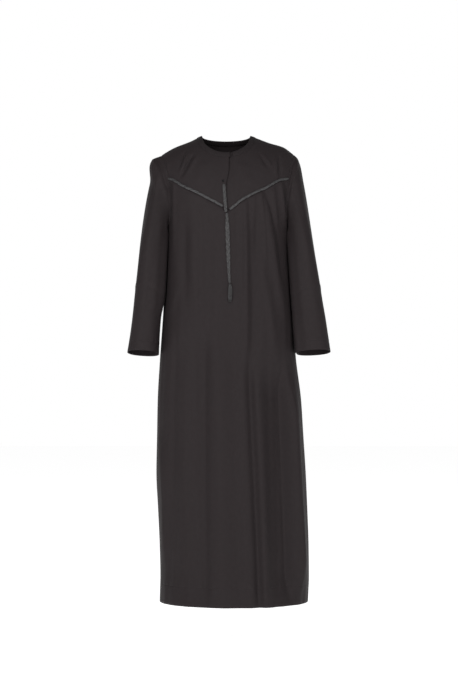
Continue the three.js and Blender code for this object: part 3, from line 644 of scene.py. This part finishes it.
def neck_point(around, away):
    """Point of the neck edge; around is 90 at the front, 0 at the right, -90 at the back."""
    around = np.asarray(around, dtype=float)
    across, along = np.cos(np.radians(around)), np.sin(np.radians(around))
    half_width = NECK_HALF_WIDTH + away
    side_z = ridge_at(NECK_CENTRE_X + np.sign(across) * half_width)
    centre_z = np.where(along > 0, NECK_FRONT_Z, NECK_BACK_Z) - away
    x = NECK_CENTRE_X + half_width * across
    z = mix(side_z, centre_z, np.abs(along))
    height = height_at(x, z)
    front_turn = turn_at(x, height)
    turn = np.where(along > 0, front_turn, np.sign(across) * 180 - front_turn)
    return x, z, turn, height, front_turn


def neck_turn(side, height):
    low, high = np.zeros_like(height), np.full_like(height, 90.0)
    for _ in range(30):
        middle = (low + high) / 2
        above = neck_point(middle if side > 0 else 180 - middle, 0)[3] > height
        low, high = np.where(above, middle, low), np.where(above, high, middle)
    return neck_point(low if side > 0 else 180 - low, 0)[2]


def yoke(side):
    on_top = side < 0
    neck_height = float(neck_point(90.0, 0)[3])

    def inner_turn(height):
        level = np.minimum(smooth_body(0.0, height)[..., 2], NECK_FRONT_Z)
        near_neck = smoothstep(height, neck_height - UNDERLAP_TAPER, neck_height)
        narrow = 1 - UNDERLAP_NARROWING * near_neck
        inward = -SEAM_GAP / 2 if on_top else -PLACKET_UNDERLAP * narrow
        edge = turn_at(read(PLACKET, "z", "x", level) + inward, height)
        neck = neck_turn(side, height)
        nearer = np.minimum(neck, edge) if on_top else np.maximum(neck, edge)
        return np.where(height <= neck_height, edge, nearer)

    start, end = (seam_end_x(-1), 0.0) if on_top else (-PLACKET_UNDERLAP, seam_end_x(1))
    xs = np.linspace(start, end, YOKE_COLUMNS)
    turn, foot = seam_place(xs, SEAM_GAP / 2)
    inner, edge = inner_turn(foot), side * side_edge(foot)
    reach = np.clip((turn - inner) / (edge - inner), 0, 1)
    reach[0], reach[-1] = (1, 0) if on_top else (0, 1)
    share = np.linspace(0, 1, YOKE_ROWS)[:, None]
    height = mix(foot[None, :], RIDGE_EDGE, share)
    inner = inner_turn(height)
    turn = mix(inner, side * side_edge(height), reach[None, :])
    flat = smooth_body(turn, height)
    points, normals = body(turn, height), normal_of(body, turn, height)
    rise = seam_valley(height - foot[None, :])
    rise += seam_valley((1 - reach[None, :]) * YOKE_WIDTH)
    rise += seam_valley((RIDGE_EDGE - height) * SHOULDER_PACE, *SHOULDER_VALLEY)
    if on_top:
        inside = read(PLACKET, "z", "x", flat[..., 2]) - flat[..., 0]
        rise += FACING_RISE * (1 - smoothstep(inside, *FACING_EDGE))
        rise -= FACING_STITCH_DENT * bell(inside - FACING_EDGE[0], FACING_STITCH_WIDTH)
    else:
        rise -= placket_dip(flat[..., 0], flat[..., 2])
    points = points + normals * rise[..., None]
    under = body(turn[-1:], np.full_like(turn[-1:], SHOULDER + over_ridge(SEAM_LAP)))
    under -= normals[-1:] * (LAP_DEPTH + SHOULDER_VALLEY[0])
    points = np.concatenate([points, under])
    return cloth_grid("yoke_left_cloth" if on_top else "yoke_right_cloth", points)


# Share of the back's columns that end at the neck; the others end at the shoulder seams.
BACK_NECK_SHARE = 0.43


def back_panel():
    away = np.linspace(1, -1, BACK_COLUMNS)
    side, reach = np.where(away < 0, -1.0, 1.0), np.abs(away)
    corner = np.abs(neck_point(np.where(side > 0, 0.0, 180.0), 0)[4]) / side_edge(RIDGE_EDGE)
    shoulder = np.clip((reach - BACK_NECK_SHARE) / (1 - BACK_NECK_SHARE), 0, 1)
    around = -90 * (1 - np.clip(reach / BACK_NECK_SHARE, 0, 1))
    around = np.where(side > 0, around, -180 - around)
    _, _, neck_turns, neck_heights, _ = neck_point(around, 0)
    on_neck = reach <= BACK_NECK_SHARE
    top = np.where(on_neck, np.minimum(neck_heights, RIDGE_EDGE), RIDGE_EDGE)
    neck_reach = (180 - np.abs(neck_turns)) / side_edge(top)
    top_reach = np.where(on_neck, neck_reach, mix(corner, 1, shoulder))
    heights = spaced_rows(BACK_ROWS, RIDGE_EDGE, HEM, HEM + HEM_STITCH_RISE)
    height = settled(heights, top)[::-1]
    settle = smoothstep(top[None, :] - height, 0, top[None, :] - CHEST)
    spread_reach = mix(top_reach[None, :], reach[None, :], settle)
    turn = side[None, :] * (180 - spread_reach * side_edge(height))
    points, normals = body(turn, height), normal_of(body, turn, height)
    rise = hem_stitches(turn, height)
    rise += seam_valley((1 - reach[None, :]) * side_edge(height) * SIDE_PACE)
    below_ridge = (RIDGE_EDGE - height) * SHOULDER_PACE
    rise += np.where(on_neck[None, :], 0, 1) * seam_valley(below_ridge, *SHOULDER_VALLEY)
    points = points + normals * rise[..., None]
    flank = height[:, :1]
    lap = mix(SEAM_LAP, SEAM_GAP, smoothstep(flank, UNDERARM - LAP_TAPER, UNDERARM))
    beyond = np.degrees((lap / section_at(flank, "front")) ** (section_at(flank, "power") / 2))
    under = [
        body(turn[:, edge] - sign * beyond, height[:, edge])
        + normals[:, edge] * (rise[:, edge] - LAP_DEPTH)[..., None]
        for sign, edge in ((1, slice(0, 1)), (-1, slice(-1, None)))
    ]
    points = np.concatenate([under[0], points, under[1]], axis=1)
    return cloth_grid("back_cloth", points)


def armhole_loop(side, face, count):
    """Points of an armhole's seam on one face, evenly spaced from shoulder to underarm."""
    share = np.linspace(0, 1, 400)
    heights = mix(SHOULDER, UNDERARM, 1 - (1 - share) ** 2)

    def turn_of(height):
        return side * (armhole_at(height) if face > 0 else 180 - armhole_at(height))

    spots = smooth_body(turn_of(heights), heights)
    run = np.concatenate([[0], np.cumsum(np.linalg.norm(np.diff(spots, axis=0), axis=1))])
    even = np.linspace(0, run[-1], count)
    height = np.interp(even, run, heights)
    turn = turn_of(height)
    points, normals = body(turn, height), normal_of(body, turn, height)
    down = np.gradient(smooth_body(turn, height), axis=0)
    leave = unit(np.cross(normals, down)) * side * face
    return points, leave, face * 180 * even / run[-1]


def sleeve_section(side, rows, height, around):
    """Points of a sleeve's section; around is 0 at the outer side and 90 at the front."""
    height, around = np.broadcast_arrays(np.asarray(height, float), np.asarray(around, float))
    across, along = np.cos(np.radians(around)), np.sin(np.radians(around))

    def rounded(value):
        return np.sign(value) * np.abs(value) ** (2 / SLEEVE_POWER)

    outer, inner, middle, depth, tilt = (
        read(rows, "height", column, height)
        for column in ("outer", "inner", "middle", "depth", "tilt")
    )
    x = side * ((outer + inner) / 2 + (outer - inner) / 2 * rounded(across))
    y = middle - depth * rounded(along)
    z = height - tilt * (rounded(-along) - TILT_OUTWARD * rounded(across))
    return np.stack([x, y, z], axis=-1)


def sleeve(side, rows, swell, lap_level):
    """A sleeve that leaves the armhole along the body's cloth, bends down and runs to the cuff."""
    half = SLEEVE_COLUMNS // 2
    front, front_leave, front_around = armhole_loop(side, 1, half + 1)
    back, back_leave, back_around = armhole_loop(side, -1, half + 1)
    loop = np.concatenate([front, back[::-1][1:]])
    leave = np.concatenate([front_leave, back_leave[::-1][1:]])
    around = np.concatenate([front_around, 360 + back_around[::-1][1:]])
    if side > 0:
        loop, leave, around = loop[::-1], leave[::-1], around[::-1]
    low = (1 - np.cos(np.radians(around))) / 2
    turned = (UNDERARM_TURN * low**4)[:, None]
    away = unit(leave * (1 - turned) + np.array([side, 0, 0]) * turned)
    start = loop + away * (SEAM_GAP / 2 + UNDERARM_CLEAR * low**6)[:, None]
    top, cuff = rows["height"][-1], rows["height"][0]
    end = sleeve_section(side, rows, top, around)
    following = unit(sleeve_section(side, rows, top - DIRECTION_STEP, around) - end)
    reach = mix(CAP_REACH, UNDERARM_REACH, low)[:, None]
    fall = CAP_FALL * np.linalg.norm(end - start, axis=1, keepdims=True)
    t = (np.linspace(0, 1, CAP_ROWS) ** CAP_CROWD)[:, None, None]
    cap = (
        start * (1 + 2 * t) * (1 - t) ** 2
        + away * reach * t * (1 - t) ** 2
        + end * t * t * (3 - 2 * t)
        + following * fall * t * t * (t - 1)
    )
    away_from_seam = np.linalg.norm(cap - start, axis=-1)
    full = smoothstep(away_from_seam, 0, SWELL_FULL)
    full *= 1 - smoothstep(away_from_seam, SWELL_HOLD, SWELL_END)
    cap[..., 0] += side * swell * (1 - low) ** 2 * full
    heights = spaced_rows(SLEEVE_ROWS + 1, top, cuff, cuff + CUFF_STITCH_RISE, 4.8, 12.0)[1:]
    tube = sleeve_section(side, rows, heights[:, None], around[None, :])
    points = np.concatenate([cap, tube])
    run = cumulative(points, 0) / MM
    share = run / run[-1:]
    across = np.roll(points, -1, axis=1) - np.roll(points, 1, axis=1)
    normals = unit(np.cross(np.gradient(points, axis=0), across))
    rise = np.zeros(points.shape[:2])
    for from_around, from_share, to_around, to_share, width, height in SLEEVE_CREASES:
        place = np.clip((share - from_share) / (to_share - from_share), 0, 1)
        off = around[None, :] - mix(from_around, to_around, place)
        off = (off + 180) % 360 - 180
        rise += height * bell(off, width) * np.sin(np.pi * place)
    rise *= smoothstep(run, 4, 60) * smoothstep(run[-1:] - run, 0, 50)
    lap = bell(around[None, :] - LAP_TURN, LAP_WIDTH) * smoothstep(run, *LAP_START)
    rise += LAP_RISE * lap * (1 - smoothstep(-points[..., 2], *lap_level))
    over = np.minimum(around, 360 - around)[None, :]
    groove = mix(*HEAD_GROOVE[side], np.clip(over / 90, 0, 1))
    shown = smoothstep(over, *HEAD_GROOVE_FROM) * (1 - smoothstep(over, *HEAD_GROOVE_TO))
    rise -= HEAD_GROOVE_DEPTH * bell(run - groove, HEAD_GROOVE_WIDTH) * shown
    ridge = bell(run - groove - HEAD_RIDGE_AWAY, HEAD_RIDGE_WIDTH)
    rise += 0.5 * HEAD_GROOVE_DEPTH * ridge * shown
    above_cuff = run[-1:] - run
    along = np.radians(around)[None, :] * CUFF_PACE
    rise += stitch_line(above_cuff - CUFF_STITCH_RISE, along, CUFF_STITCH_DENT, CUFF_PUCKER_RISE)
    rise += seam_valley(run, *ARMHOLE_VALLEY)
    rise += seam_valley(around[None, :] - 180, *INNER_SEAM_VALLEY) * smoothstep(run, 4, 20)
    points = points + normals * rise[..., None]
    under = points[:1] - away[None] * SEAM_LAP - normals[:1] * LAP_DEPTH
    points = np.concatenate([under, points])[::-1]
    name = "sleeve_left_cloth" if side < 0 else "sleeve_right_cloth"
    return cloth_grid(name, points, closed=True)


def join(pieces, name):
    deselect()
    for piece in pieces:
        piece.select_set(True)
    bpy.context.view_layer.objects.active = pieces[0]
    if len(pieces) > 1:
        bpy.ops.object.join()
    joined = bpy.context.object
    joined.name = joined.data.name = name
    return joined


def close_ends(piece):
    """Fills the open ends of a tube and turns all its faces outward."""
    deselect()
    piece.select_set(True)
    bpy.context.view_layer.objects.active = piece
    bpy.ops.object.mode_set(mode="EDIT")
    bpy.ops.mesh.select_all(action="SELECT")
    bpy.ops.mesh.fill_holes(sides=0)
    bpy.ops.mesh.select_all(action="SELECT")
    bpy.ops.mesh.normals_make_consistent(inside=False)
    bpy.ops.object.mode_set(mode="OBJECT")


def path_on_front(x, z):
    """Run along a line on the front, and the direction across it."""
    x_step, z_step = np.gradient(x), np.gradient(z)
    length = np.hypot(x_step, z_step)
    run = np.concatenate([[0], np.cumsum(np.hypot(np.diff(x), np.diff(z)))])
    return run, -z_step / length, x_step / length


def rounded_ends(run, reach):
    """Shrinks a strand to nothing over the last millimetres at both of its ends."""
    near = np.minimum(run, run[-1] - run) / reach
    return np.sqrt(np.clip(1 - (1 - np.clip(near, 0, 1)) ** 2, 0, 1))


STRAND_SIDES = 12
STRAND_END = 2.0


def strand_on_front(name, x, z, offset, lift, half_width, half_thick):
    """A flat strand laid on the front, its middle beside and above a line."""
    run, across_x, across_z = path_on_front(x, z)
    around = np.linspace(0, 2 * np.pi, STRAND_SIDES + 1)[:, None]
    ends = rounded_ends(run, STRAND_END)
    beside = offset + half_width * ends * np.cos(around)
    above = lift + half_thick * ends * np.sin(around)
    points = on_front(x + across_x * beside, z + across_z * beside, above).swapaxes(0, 1)
    points[0], points[-1] = points[0].mean(axis=0), points[-1].mean(axis=0)
    return cloth_grid(name, points, closed=True)


# A plait's strands and tape, as shares of its width and thickness.
STRAND_HALF_WIDTH = 0.26
STRAND_HALF_THICK = 0.27
STRAND_SWING = 0.24
TAPE_HALF_WIDTH = 0.42
TAPE_HALF_THICK = 0.3
TAPE_LIFT = 0.25
PLAIT_END = 9.0


def plait(name, x, z, width, thick, repeat, base):
    """Three flat strands that cross over and under each other, on a thin tape."""
    run, _, _ = path_on_front(x, z)
    strands = []
    for k in range(3):
        angle = 2 * np.pi * (run / repeat + k / 3)
        ends = smoothstep(np.minimum(run, run[-1] - run), 0, PLAIT_END)
        wide = width * STRAND_HALF_WIDTH
        offset = (width / 2 - wide) * np.sin(angle) * mix(0.5, 1, ends)
        lift = base + thick / 2 + thick * STRAND_SWING * np.sin(2 * angle) * ends
        strand = f"{name}_strand_{k}"
        strands.append(strand_on_front(strand, x, z, offset, lift, wide, thick * STRAND_HALF_THICK))
    lift, thin = np.full_like(run, base + TAPE_LIFT), np.full_like(run, TAPE_HALF_THICK)
    tape = strand_on_front(f"{name}_tape", x, z, run * 0, lift, width * TAPE_HALF_WIDTH, thin)
    return join([*strands, tape], name)


BRAID_WIDTH = 7.6
BRAID_THICK = 2.3
BRAID_REPEAT = 62.0
BRAID_STEP = 1.6
# Length along the seam for a length across the front.
BRAID_SLANT = 1.15
BRAID_LIFT = 0.3
LEFT_BRAID = (-176, -11)
RIGHT_BRAID = (9, 188)
# The stem's foot and top: heights, and x.
STEM_Z = (-221, -135)
STEM_X = (-1.5, -8)
STEM_POINTS = 60
STEM_WIDTH = 10.0
STEM_THICK = 3.0
STEM_REPEAT = 54.0
STEM_LIFT = 0.6


def seam_braid(name, from_x, to_x):
    count = int(abs(to_x - from_x) * BRAID_SLANT / BRAID_STEP)
    x = np.linspace(from_x, to_x, count)
    z = read(YOKE_SEAM, "x", "z", x)
    width = np.full_like(x, BRAID_WIDTH)
    return plait(name, x, z, width, BRAID_THICK, BRAID_REPEAT, BRAID_LIFT)


def stem_braid():
    z = np.linspace(*STEM_Z, STEM_POINTS)
    x = np.interp(z, STEM_Z, STEM_X)
    width = np.full_like(x, STEM_WIDTH)
    return plait("braid_stem_plait", x, z, width, STEM_THICK, STEM_REPEAT, STEM_LIFT)


TASSEL = table(
    "z x width",
    [
        (-222, 1, 8), (-243, 2, 10), (-270, 3, 13.5), (-360, 6, 13), (-389, 7, 10),
        (-425, 9, 8.5), (-436, 10, 6.5),
    ],
)
TASSEL_POINTS = 140
TASSEL_THICK = 3.8
TASSEL_REPEAT = 58.0
TASSEL_LIFT = 0.4


def tassel_plait():
    z = np.linspace(TASSEL["z"][0], TASSEL["z"][-1], TASSEL_POINTS)
    x, width = read(TASSEL, "z", "x", z), read(TASSEL, "z", "width", z)
    name = "tassel_plait_strands"
    return plait(name, x, z, width, TASSEL_THICK, TASSEL_REPEAT, TASSEL_LIFT)


TUFT_X = 11.0
TUFT_TOP = -438.0
TUFT_FOOT = -495.0
TUFT_LIFT = 5.0
TUFT_STRANDS = 150
TUFT_HALF_WIDTH = 6.2
TUFT_HALF_DEPTH = 3.4
GOLDEN_TURN = 2.39996
THREAD_POINTS = 9
THREAD_RADIUS = 0.42
THREAD_SIDES = 6
KNOT_POINTS = 16
KNOT_TOP = 2.0
KNOT_LENGTH = 13.0
KNOT_RADIUS = 4.0
KNOT_WRAPS = 5
KNOT_WRAP_RISE = 0.25
KNOT_SIDES = 20


def thread(name, path, radius, sides=THREAD_SIDES):
    """A round thread along a path of points."""
    ahead = unit(np.gradient(path, axis=0))
    side_way = unit(np.cross(ahead, [0.0, 1.0, 0.0]))
    out = np.cross(side_way, ahead)
    around = np.linspace(0, 2 * np.pi, sides + 1)[None, :, None]
    ring = side_way[:, None, :] * np.cos(around) + out[:, None, :] * np.sin(around)
    points = path[:, None, :] + ring * np.asarray(radius)[:, None, None]
    points[0], points[-1] = path[0], path[-1]
    return cloth_grid(name, points, closed=True)


def tassel_tuft():
    """The tassel's foot: a wrapped knot, and soft threads of uneven length below it."""
    seed = np.random.default_rng(7)
    top = on_front(TUFT_X, TUFT_TOP, TUFT_LIFT)
    foot = on_front(TUFT_X, TUFT_FOOT, TUFT_LIFT)
    pieces = []
    share = np.linspace(0, 1, THREAD_POINTS)
    bulge = 0.55 + 0.45 * np.sin(np.pi * np.clip(share * 0.75 + 0.12, 0, 1))
    taper = 1 - 0.4 * share[::-1] ** 3
    for k in range(TUFT_STRANDS):
        turn, reach = GOLDEN_TURN * k, math.sqrt((k + 0.5) / TUFT_STRANDS)
        spread_x = TUFT_HALF_WIDTH * reach * math.cos(turn)
        spread_y = TUFT_HALF_DEPTH * reach * math.sin(turn)
        length = 1 - 0.1 * seed.random() - 0.05 * reach
        wave = 0.5 * np.sin(share * (4 + 3 * seed.random()) + 6.28 * seed.random()) * share
        path = mix(top[None, :], foot[None, :], (share * length)[:, None])
        path = path + np.stack([spread_x * bulge + wave, spread_y * bulge, 0 * share], axis=-1)
        pieces.append(thread(f"thread_{k}", path[::-1], THREAD_RADIUS * taper))
    share = np.linspace(0, 1, KNOT_POINTS)
    path = np.tile(top, (KNOT_POINTS, 1))
    path[:, 2] += KNOT_TOP - KNOT_LENGTH * share
    wraps = KNOT_WRAP_RISE * np.sin(share * 2 * np.pi * KNOT_WRAPS)
    radius = KNOT_RADIUS * np.sin(np.pi * np.clip(share, 0.04, 0.96)) ** 0.5 + wraps
    pieces.append(thread("knot", path[::-1], radius[::-1], KNOT_SIDES))
    return join(pieces, "tassel_tuft_threads")


# The binding runs from the placket round the back to the placket: turns as in neck_point.
BINDING_FROM = 82.5
BINDING_TO = -275.0
BINDING_POINTS = 240
# Its points lie closer together by this much at the neck's sides.
BINDING_CROWD = 0.4
# The binding's folded section: away from the neck edge, and its rise from the cloth.
BINDING_PROFILE = [
    (14, 0.2), (14.3, 0.7), (13.9, 1.2), (12.8, 1.35), (12.2, 0.95), (11.6, 1.35),
    (9, 1.5), (6, 1.55), (3, 1.6), (1.2, 1.65), (-0.3, 1.4), (-1.3, 0.6), (-1.6, -0.5),
    (-1.3, -1.6), (-0.3, -2.3), (1.2, -2.5), (6, -2.4), (11.8, -2.3), (12.1, -2),
    (11.8, -1.6), (6, -1.5), (1, -1.4), (0.5, -0.6), (0.8, 0.2), (6, 0.2), (10, 0.2),
]


def neck_binding():
    even = np.linspace(BINDING_FROM, BINDING_TO, BINDING_POINTS)
    around = even - np.degrees(BINDING_CROWD * np.sin(2 * np.radians(even)))
    rows = []
    for k, angle in enumerate(around):
        ring = []
        for away, lift in [*BINDING_PROFILE, BINDING_PROFILE[0]]:
            x, z, turn, height, _ = neck_point(float(angle), away)
            dip = float(placket_dip(x, z)) if k < len(around) / 4 else 0.0
            ring.append((float(turn), float(height), lift - dip))
        rows.append(ring)
    rows = np.array(rows)
    points = raised(rows[..., 0], rows[..., 1], rows[..., 2])
    piece = cloth_grid("neck_binding_band", points, closed=True)
    close_ends(piece)
    return piece


BUTTON_X = -10.0
BUTTON_Z = -126.0
BUTTON_SEAT = 0.3
BUTTON_POINTS = 33
# The button's section from its seat over the raised rim to the middle: radius and height.
BUTTON_PROFILE = [
    (0.3, 0.0), (2.9, 0.0), (3.4, 0.5), (3.4, 1.2), (3.0, 1.9), (2.5, 2.0), (2.0, 1.55),
    (1.1, 1.4), (0.0, 1.4),
]


def button():
    """A small button turned from resin, with a raised rim."""
    seat = on_front(BUTTON_X, BUTTON_Z, BUTTON_SEAT)
    outward = unit(on_front(BUTTON_X, BUTTON_Z, BUTTON_SEAT + 1) - seat)
    radii, lifts = np.array(BUTTON_PROFILE).T
    around = np.linspace(0, 2 * np.pi, BUTTON_POINTS)
    side_way = unit(np.cross(outward, [0, 0, 1.0]))
    up = np.cross(side_way, outward)
    ring = np.cos(around)[:, None] * side_way + np.sin(around)[:, None] * up
    points = seat + outward * lifts[:, None, None] + ring[None, :, :] * radii[:, None, None]
    piece = cloth_grid("button_disc", points, closed=True)
    close_ends(piece)
    return piece


def linear(hex_colour):
    """Linear colour of an sRGB hex value."""
    channels = [int(hex_colour[k : k + 2], 16) / 255 for k in (1, 3, 5)]
    return [c / 12.92 if c <= 0.04045 else ((c + 0.055) / 1.055) ** 2.4 for c in channels] + [1.0]


def add_node(tree, kind, links=None, **settings):
    """A node with its settings and links; an input is named or numbered."""
    node = tree.nodes.new(kind)
    for key, value in settings.items():
        if key == "inputs":
            for socket, number in value.items():
                node.inputs[socket].default_value = number
        else:
            setattr(node, key, value)
    for socket, source in (links or {}).items():
        tree.links.new(source, node.inputs[socket])
    return node


def new_material(name):
    material = bpy.data.materials.new(name)
    material.use_nodes = True
    return material, material.node_tree, material.node_tree.nodes["Principled BSDF"]


# At a scale of 1 a band texture repeats over this length.
WAVE_LENGTH = math.pi / 10
# Real twill has about two ribs a millimetre.
TWILL_RIB = 1.53 * MM
TWILL_TURN = 58
SLUB_LENGTH = 14 * MM
PLY_TURN = 32
BRAID_PLY = 1.0 * MM
TASSEL_PLY = 0.88 * MM


def uniform(shader, **values):
    """Sets inputs of a shader to single values; an underscore stands for a space."""
    for key, value in values.items():
        shader.inputs[key.replace("_", " ")].default_value = value


def bands(tree, uv, turn, length, **settings):
    """Bands across a piece's UV map, turned by some degrees, each of a length in metres."""
    place = add_node(tree, "ShaderNodeMapping", {"Vector": uv.outputs["UV"]})
    place.inputs["Rotation"].default_value = (0, 0, math.radians(turn))
    return add_node(
        tree,
        "ShaderNodeTexWave",
        {"Vector": place.outputs["Vector"]},
        wave_type="BANDS",
        bands_direction="X",
        inputs={"Scale": WAVE_LENGTH / length, **settings},
    )


def two_tone(tree, shader, factor, dark, light):
    """Base colour between two hex colours."""
    tone = add_node(tree, "ShaderNodeMix", {"Factor": factor.outputs["Fac"]}, data_type="RGBA")
    tone.inputs["A"].default_value = linear(dark)
    tone.inputs["B"].default_value = linear(light)
    tree.links.new(tone.outputs["Result"], shader.inputs["Base Color"])


def relief(tree, height, strength, distance, under=None):
    """Fine relief from a texture, over other relief where there is some."""
    links = {"Height": height.outputs["Fac"]}
    if under:
        links["Normal"] = under.outputs["Normal"]
    values = {"Strength": strength, "Distance": distance * MM}
    return add_node(tree, "ShaderNodeBump", links, inputs=values)


def twill_suiting(name, light, dark):
    """Wool-blend twill suiting, woven fine and pressed: an even dark cloth with a soft sheen
    and a faint diagonal rib. The rib is drawn coarser than real so that it shows."""
    material, tree, shader = new_material(name)
    uniform(shader, Roughness=0.64, Specular_IOR_Level=0.1, Sheen_Weight=0.02, Sheen_Roughness=0.4)
    uv = add_node(tree, "ShaderNodeTexCoord")
    ribs = bands(tree, uv, TWILL_TURN, TWILL_RIB, Distortion=0.6, Detail=1.0)
    slub = add_node(
        tree,
        "ShaderNodeTexNoise",
        {"Vector": uv.outputs["UV"]},
        inputs={"Scale": 1 / SLUB_LENGTH, "Detail": 3.0, "Roughness": 0.55},
    )
    two_tone(tree, shader, slub, dark, light)
    low_ribs = relief(tree, ribs, 0.07, 0.25)
    grain = relief(tree, slub, 0.05, 1.2, low_ribs)
    tree.links.new(grain.outputs["Normal"], shader.inputs["Normal"])
    return material


def twisted_thread(name, light, dark, ply):
    """Rayon braid thread: smooth filament yarn that catches the light along each ply. Its colour is
    painted too: light along each ply as a painted highlight, and dark between them as painted
    shade.
    """
    material, tree, shader = new_material(name)
    uniform(shader, Roughness=0.42, Specular_IOR_Level=0.5, Sheen_Weight=0.1)
    ply_relief_and_painted_highlights = bands(tree, add_node(tree, "ShaderNodeTexCoord"), PLY_TURN, ply, Distortion=0.4)
    # Base colour runs from dark to light across each ply: a painted highlight on the ply and
    # painted shade between them.
    two_tone(tree, shader, ply_relief_and_painted_highlights, dark, light)
    twist = relief(tree, ply_relief_and_painted_highlights, 0.4, 0.3)
    tree.links.new(twist.outputs["Normal"], shader.inputs["Normal"])
    return material


def cast_resin(name, colour):
    """Cast resin, tumbled to a dull shine: an even dark face that barely catches the light."""
    material, _, shader = new_material(name)
    uniform(shader, Base_Color=linear(colour), Roughness=0.5, Specular_IOR_Level=0.15)
    return material


# The panels' cloth, and the same cloth on the fold of the neck band, a little darker.
suiting = twill_suiting("charcoal_twill_suiting", "#2b2627", "#262122")
edge_suiting = twill_suiting("charcoal_edge_band", "#292425", "#242021")
# Grey braid, its colour light along each ply and dark between them, a painted highlight and painted
# shade; and the darker thread of the stem and the tassel, painted the same way.
braid_thread = twisted_thread("grey_rayon_braid", "#383738", "#151416", BRAID_PLY)
tassel_thread = twisted_thread("grey_tassel_thread", "#302e2f", "#161516", TASSEL_PLY)
button_resin = cast_resin("polished_black_resin", "#0d0c0d")


front = front_panel()
give_thickness(front, CLOTH_THICK)
finish_cloth(front, "front_panel", suiting)

back = back_panel()
give_thickness(back, CLOTH_THICK)
finish_cloth(back, "back_panel", suiting)

for yoke_side in (-1, 1):
    half_yoke = yoke(yoke_side)
    give_thickness(half_yoke, CLOTH_THICK)
    finish_cloth(half_yoke, "yoke_left" if yoke_side < 0 else "yoke_right", suiting)

for sleeve_side, rows, swell, lap_level in (
    (-1, LEFT_SLEEVE, LEFT_SWELL, LEFT_LAP),
    (1, RIGHT_SLEEVE, RIGHT_SWELL, RIGHT_LAP),
):
    arm = sleeve(sleeve_side, rows, swell, lap_level)
    give_thickness(arm, CLOTH_THICK)
    finish_cloth(arm, "sleeve_left" if sleeve_side < 0 else "sleeve_right", suiting)


binding = neck_binding()
finish_cloth(binding, "neck_binding", edge_suiting)

finish_cloth(seam_braid("braid_left_plait", *LEFT_BRAID), "braid_left", braid_thread)
finish_cloth(seam_braid("braid_right_plait", *RIGHT_BRAID), "braid_right", braid_thread)
finish_cloth(stem_braid(), "braid_stem", tassel_thread)
finish_cloth(tassel_plait(), "tassel_plait", tassel_thread)
finish_cloth(tassel_tuft(), "tassel_tuft", tassel_thread)
finish_cloth(button(), "button", button_resin)


CAMERA_X = 7.7
CAMERA_Z = -616.7
CAMERA_AWAY = 6000.0
CAMERA_LENS = 102.3
SENSOR_WIDTH = 36.0
FLOOR_Z = -1556.0
FLOOR_SIDE = 24
FLOOR_GLOW = 0.76
# Size of each softbox in metres, and the point that they all face.
SOFTBOX = (1.8, 2.4)
LIT_POINT = (0, 0, -0.7)
# Strength of the white walls as a light on the garment, and as the lens sees them.
WALL_LIGHT = 0.22
WALL_WHITE = 1.0


def camera():
    data = bpy.data.cameras.new("photo_view")
    data.lens = CAMERA_LENS
    data.sensor_width = SENSOR_WIDTH
    data.sensor_fit = "AUTO"
    view = bpy.data.objects.new("photo_view", data)
    view.location = (CAMERA_X * MM, -CAMERA_AWAY * MM, CAMERA_Z * MM)
    view.rotation_euler = (math.radians(90), 0, 0)
    bpy.context.collection.objects.link(view)
    bpy.context.scene.camera = view


def studio():
    """Plain white floor, a little aglow, so that it runs into the white walls."""
    deselect()
    bpy.ops.mesh.primitive_plane_add(size=FLOOR_SIDE, location=(0, 0, FLOOR_Z * MM))
    floor = bpy.context.object
    floor.name = "studio_floor"
    material, _, shader = new_material("matt_white_floor")
    uniform(shader, Base_Color=linear("#fcfcfc"), Roughness=0.9)
    uniform(shader, Emission_Color=(1, 1, 1, 1), Emission_Strength=FLOOR_GLOW)
    floor.data.materials.append(material)


def softbox(name, location, power):
    data = bpy.data.lights.new(name, "AREA")
    data.shape = "RECTANGLE"
    data.size, data.size_y = SOFTBOX
    data.energy = power
    lamp = bpy.data.objects.new(name, data)
    lamp.location = location
    toward = Vector(LIT_POINT) - Vector(location)
    lamp.rotation_euler = toward.to_track_quat("-Z", "Y").to_euler()
    bpy.context.collection.objects.link(lamp)


camera()
studio()
softbox("key_softbox", (-2.4, -4.6, 1.5), 128)
softbox("fill_softbox", (2.6, -4.8, 1.6), 96)
softbox("back_softbox_left", (-2.6, 4.4, 1.8), 20)
softbox("back_softbox_right", (2.8, 4.2, 1.2), 16)


def studio_air():
    """White walls for the lens, and a softer light from them on the cloth."""
    world = bpy.data.worlds.new("studio_air")
    world.use_nodes = True
    tree = world.node_tree
    seen = add_node(tree, "ShaderNodeLightPath")
    strength = add_node(
        tree,
        "ShaderNodeMapRange",
        {"Value": seen.outputs["Is Camera Ray"]},
        inputs={"To Min": WALL_LIGHT, "To Max": WALL_WHITE},
    )
    background = tree.nodes["Background"]
    background.inputs["Color"].default_value = (1, 1, 1, 1)
    tree.links.new(strength.outputs["Result"], background.inputs["Strength"])
    bpy.context.scene.world = world


studio_air()
bpy.context.scene.view_settings.view_transform = "Standard"
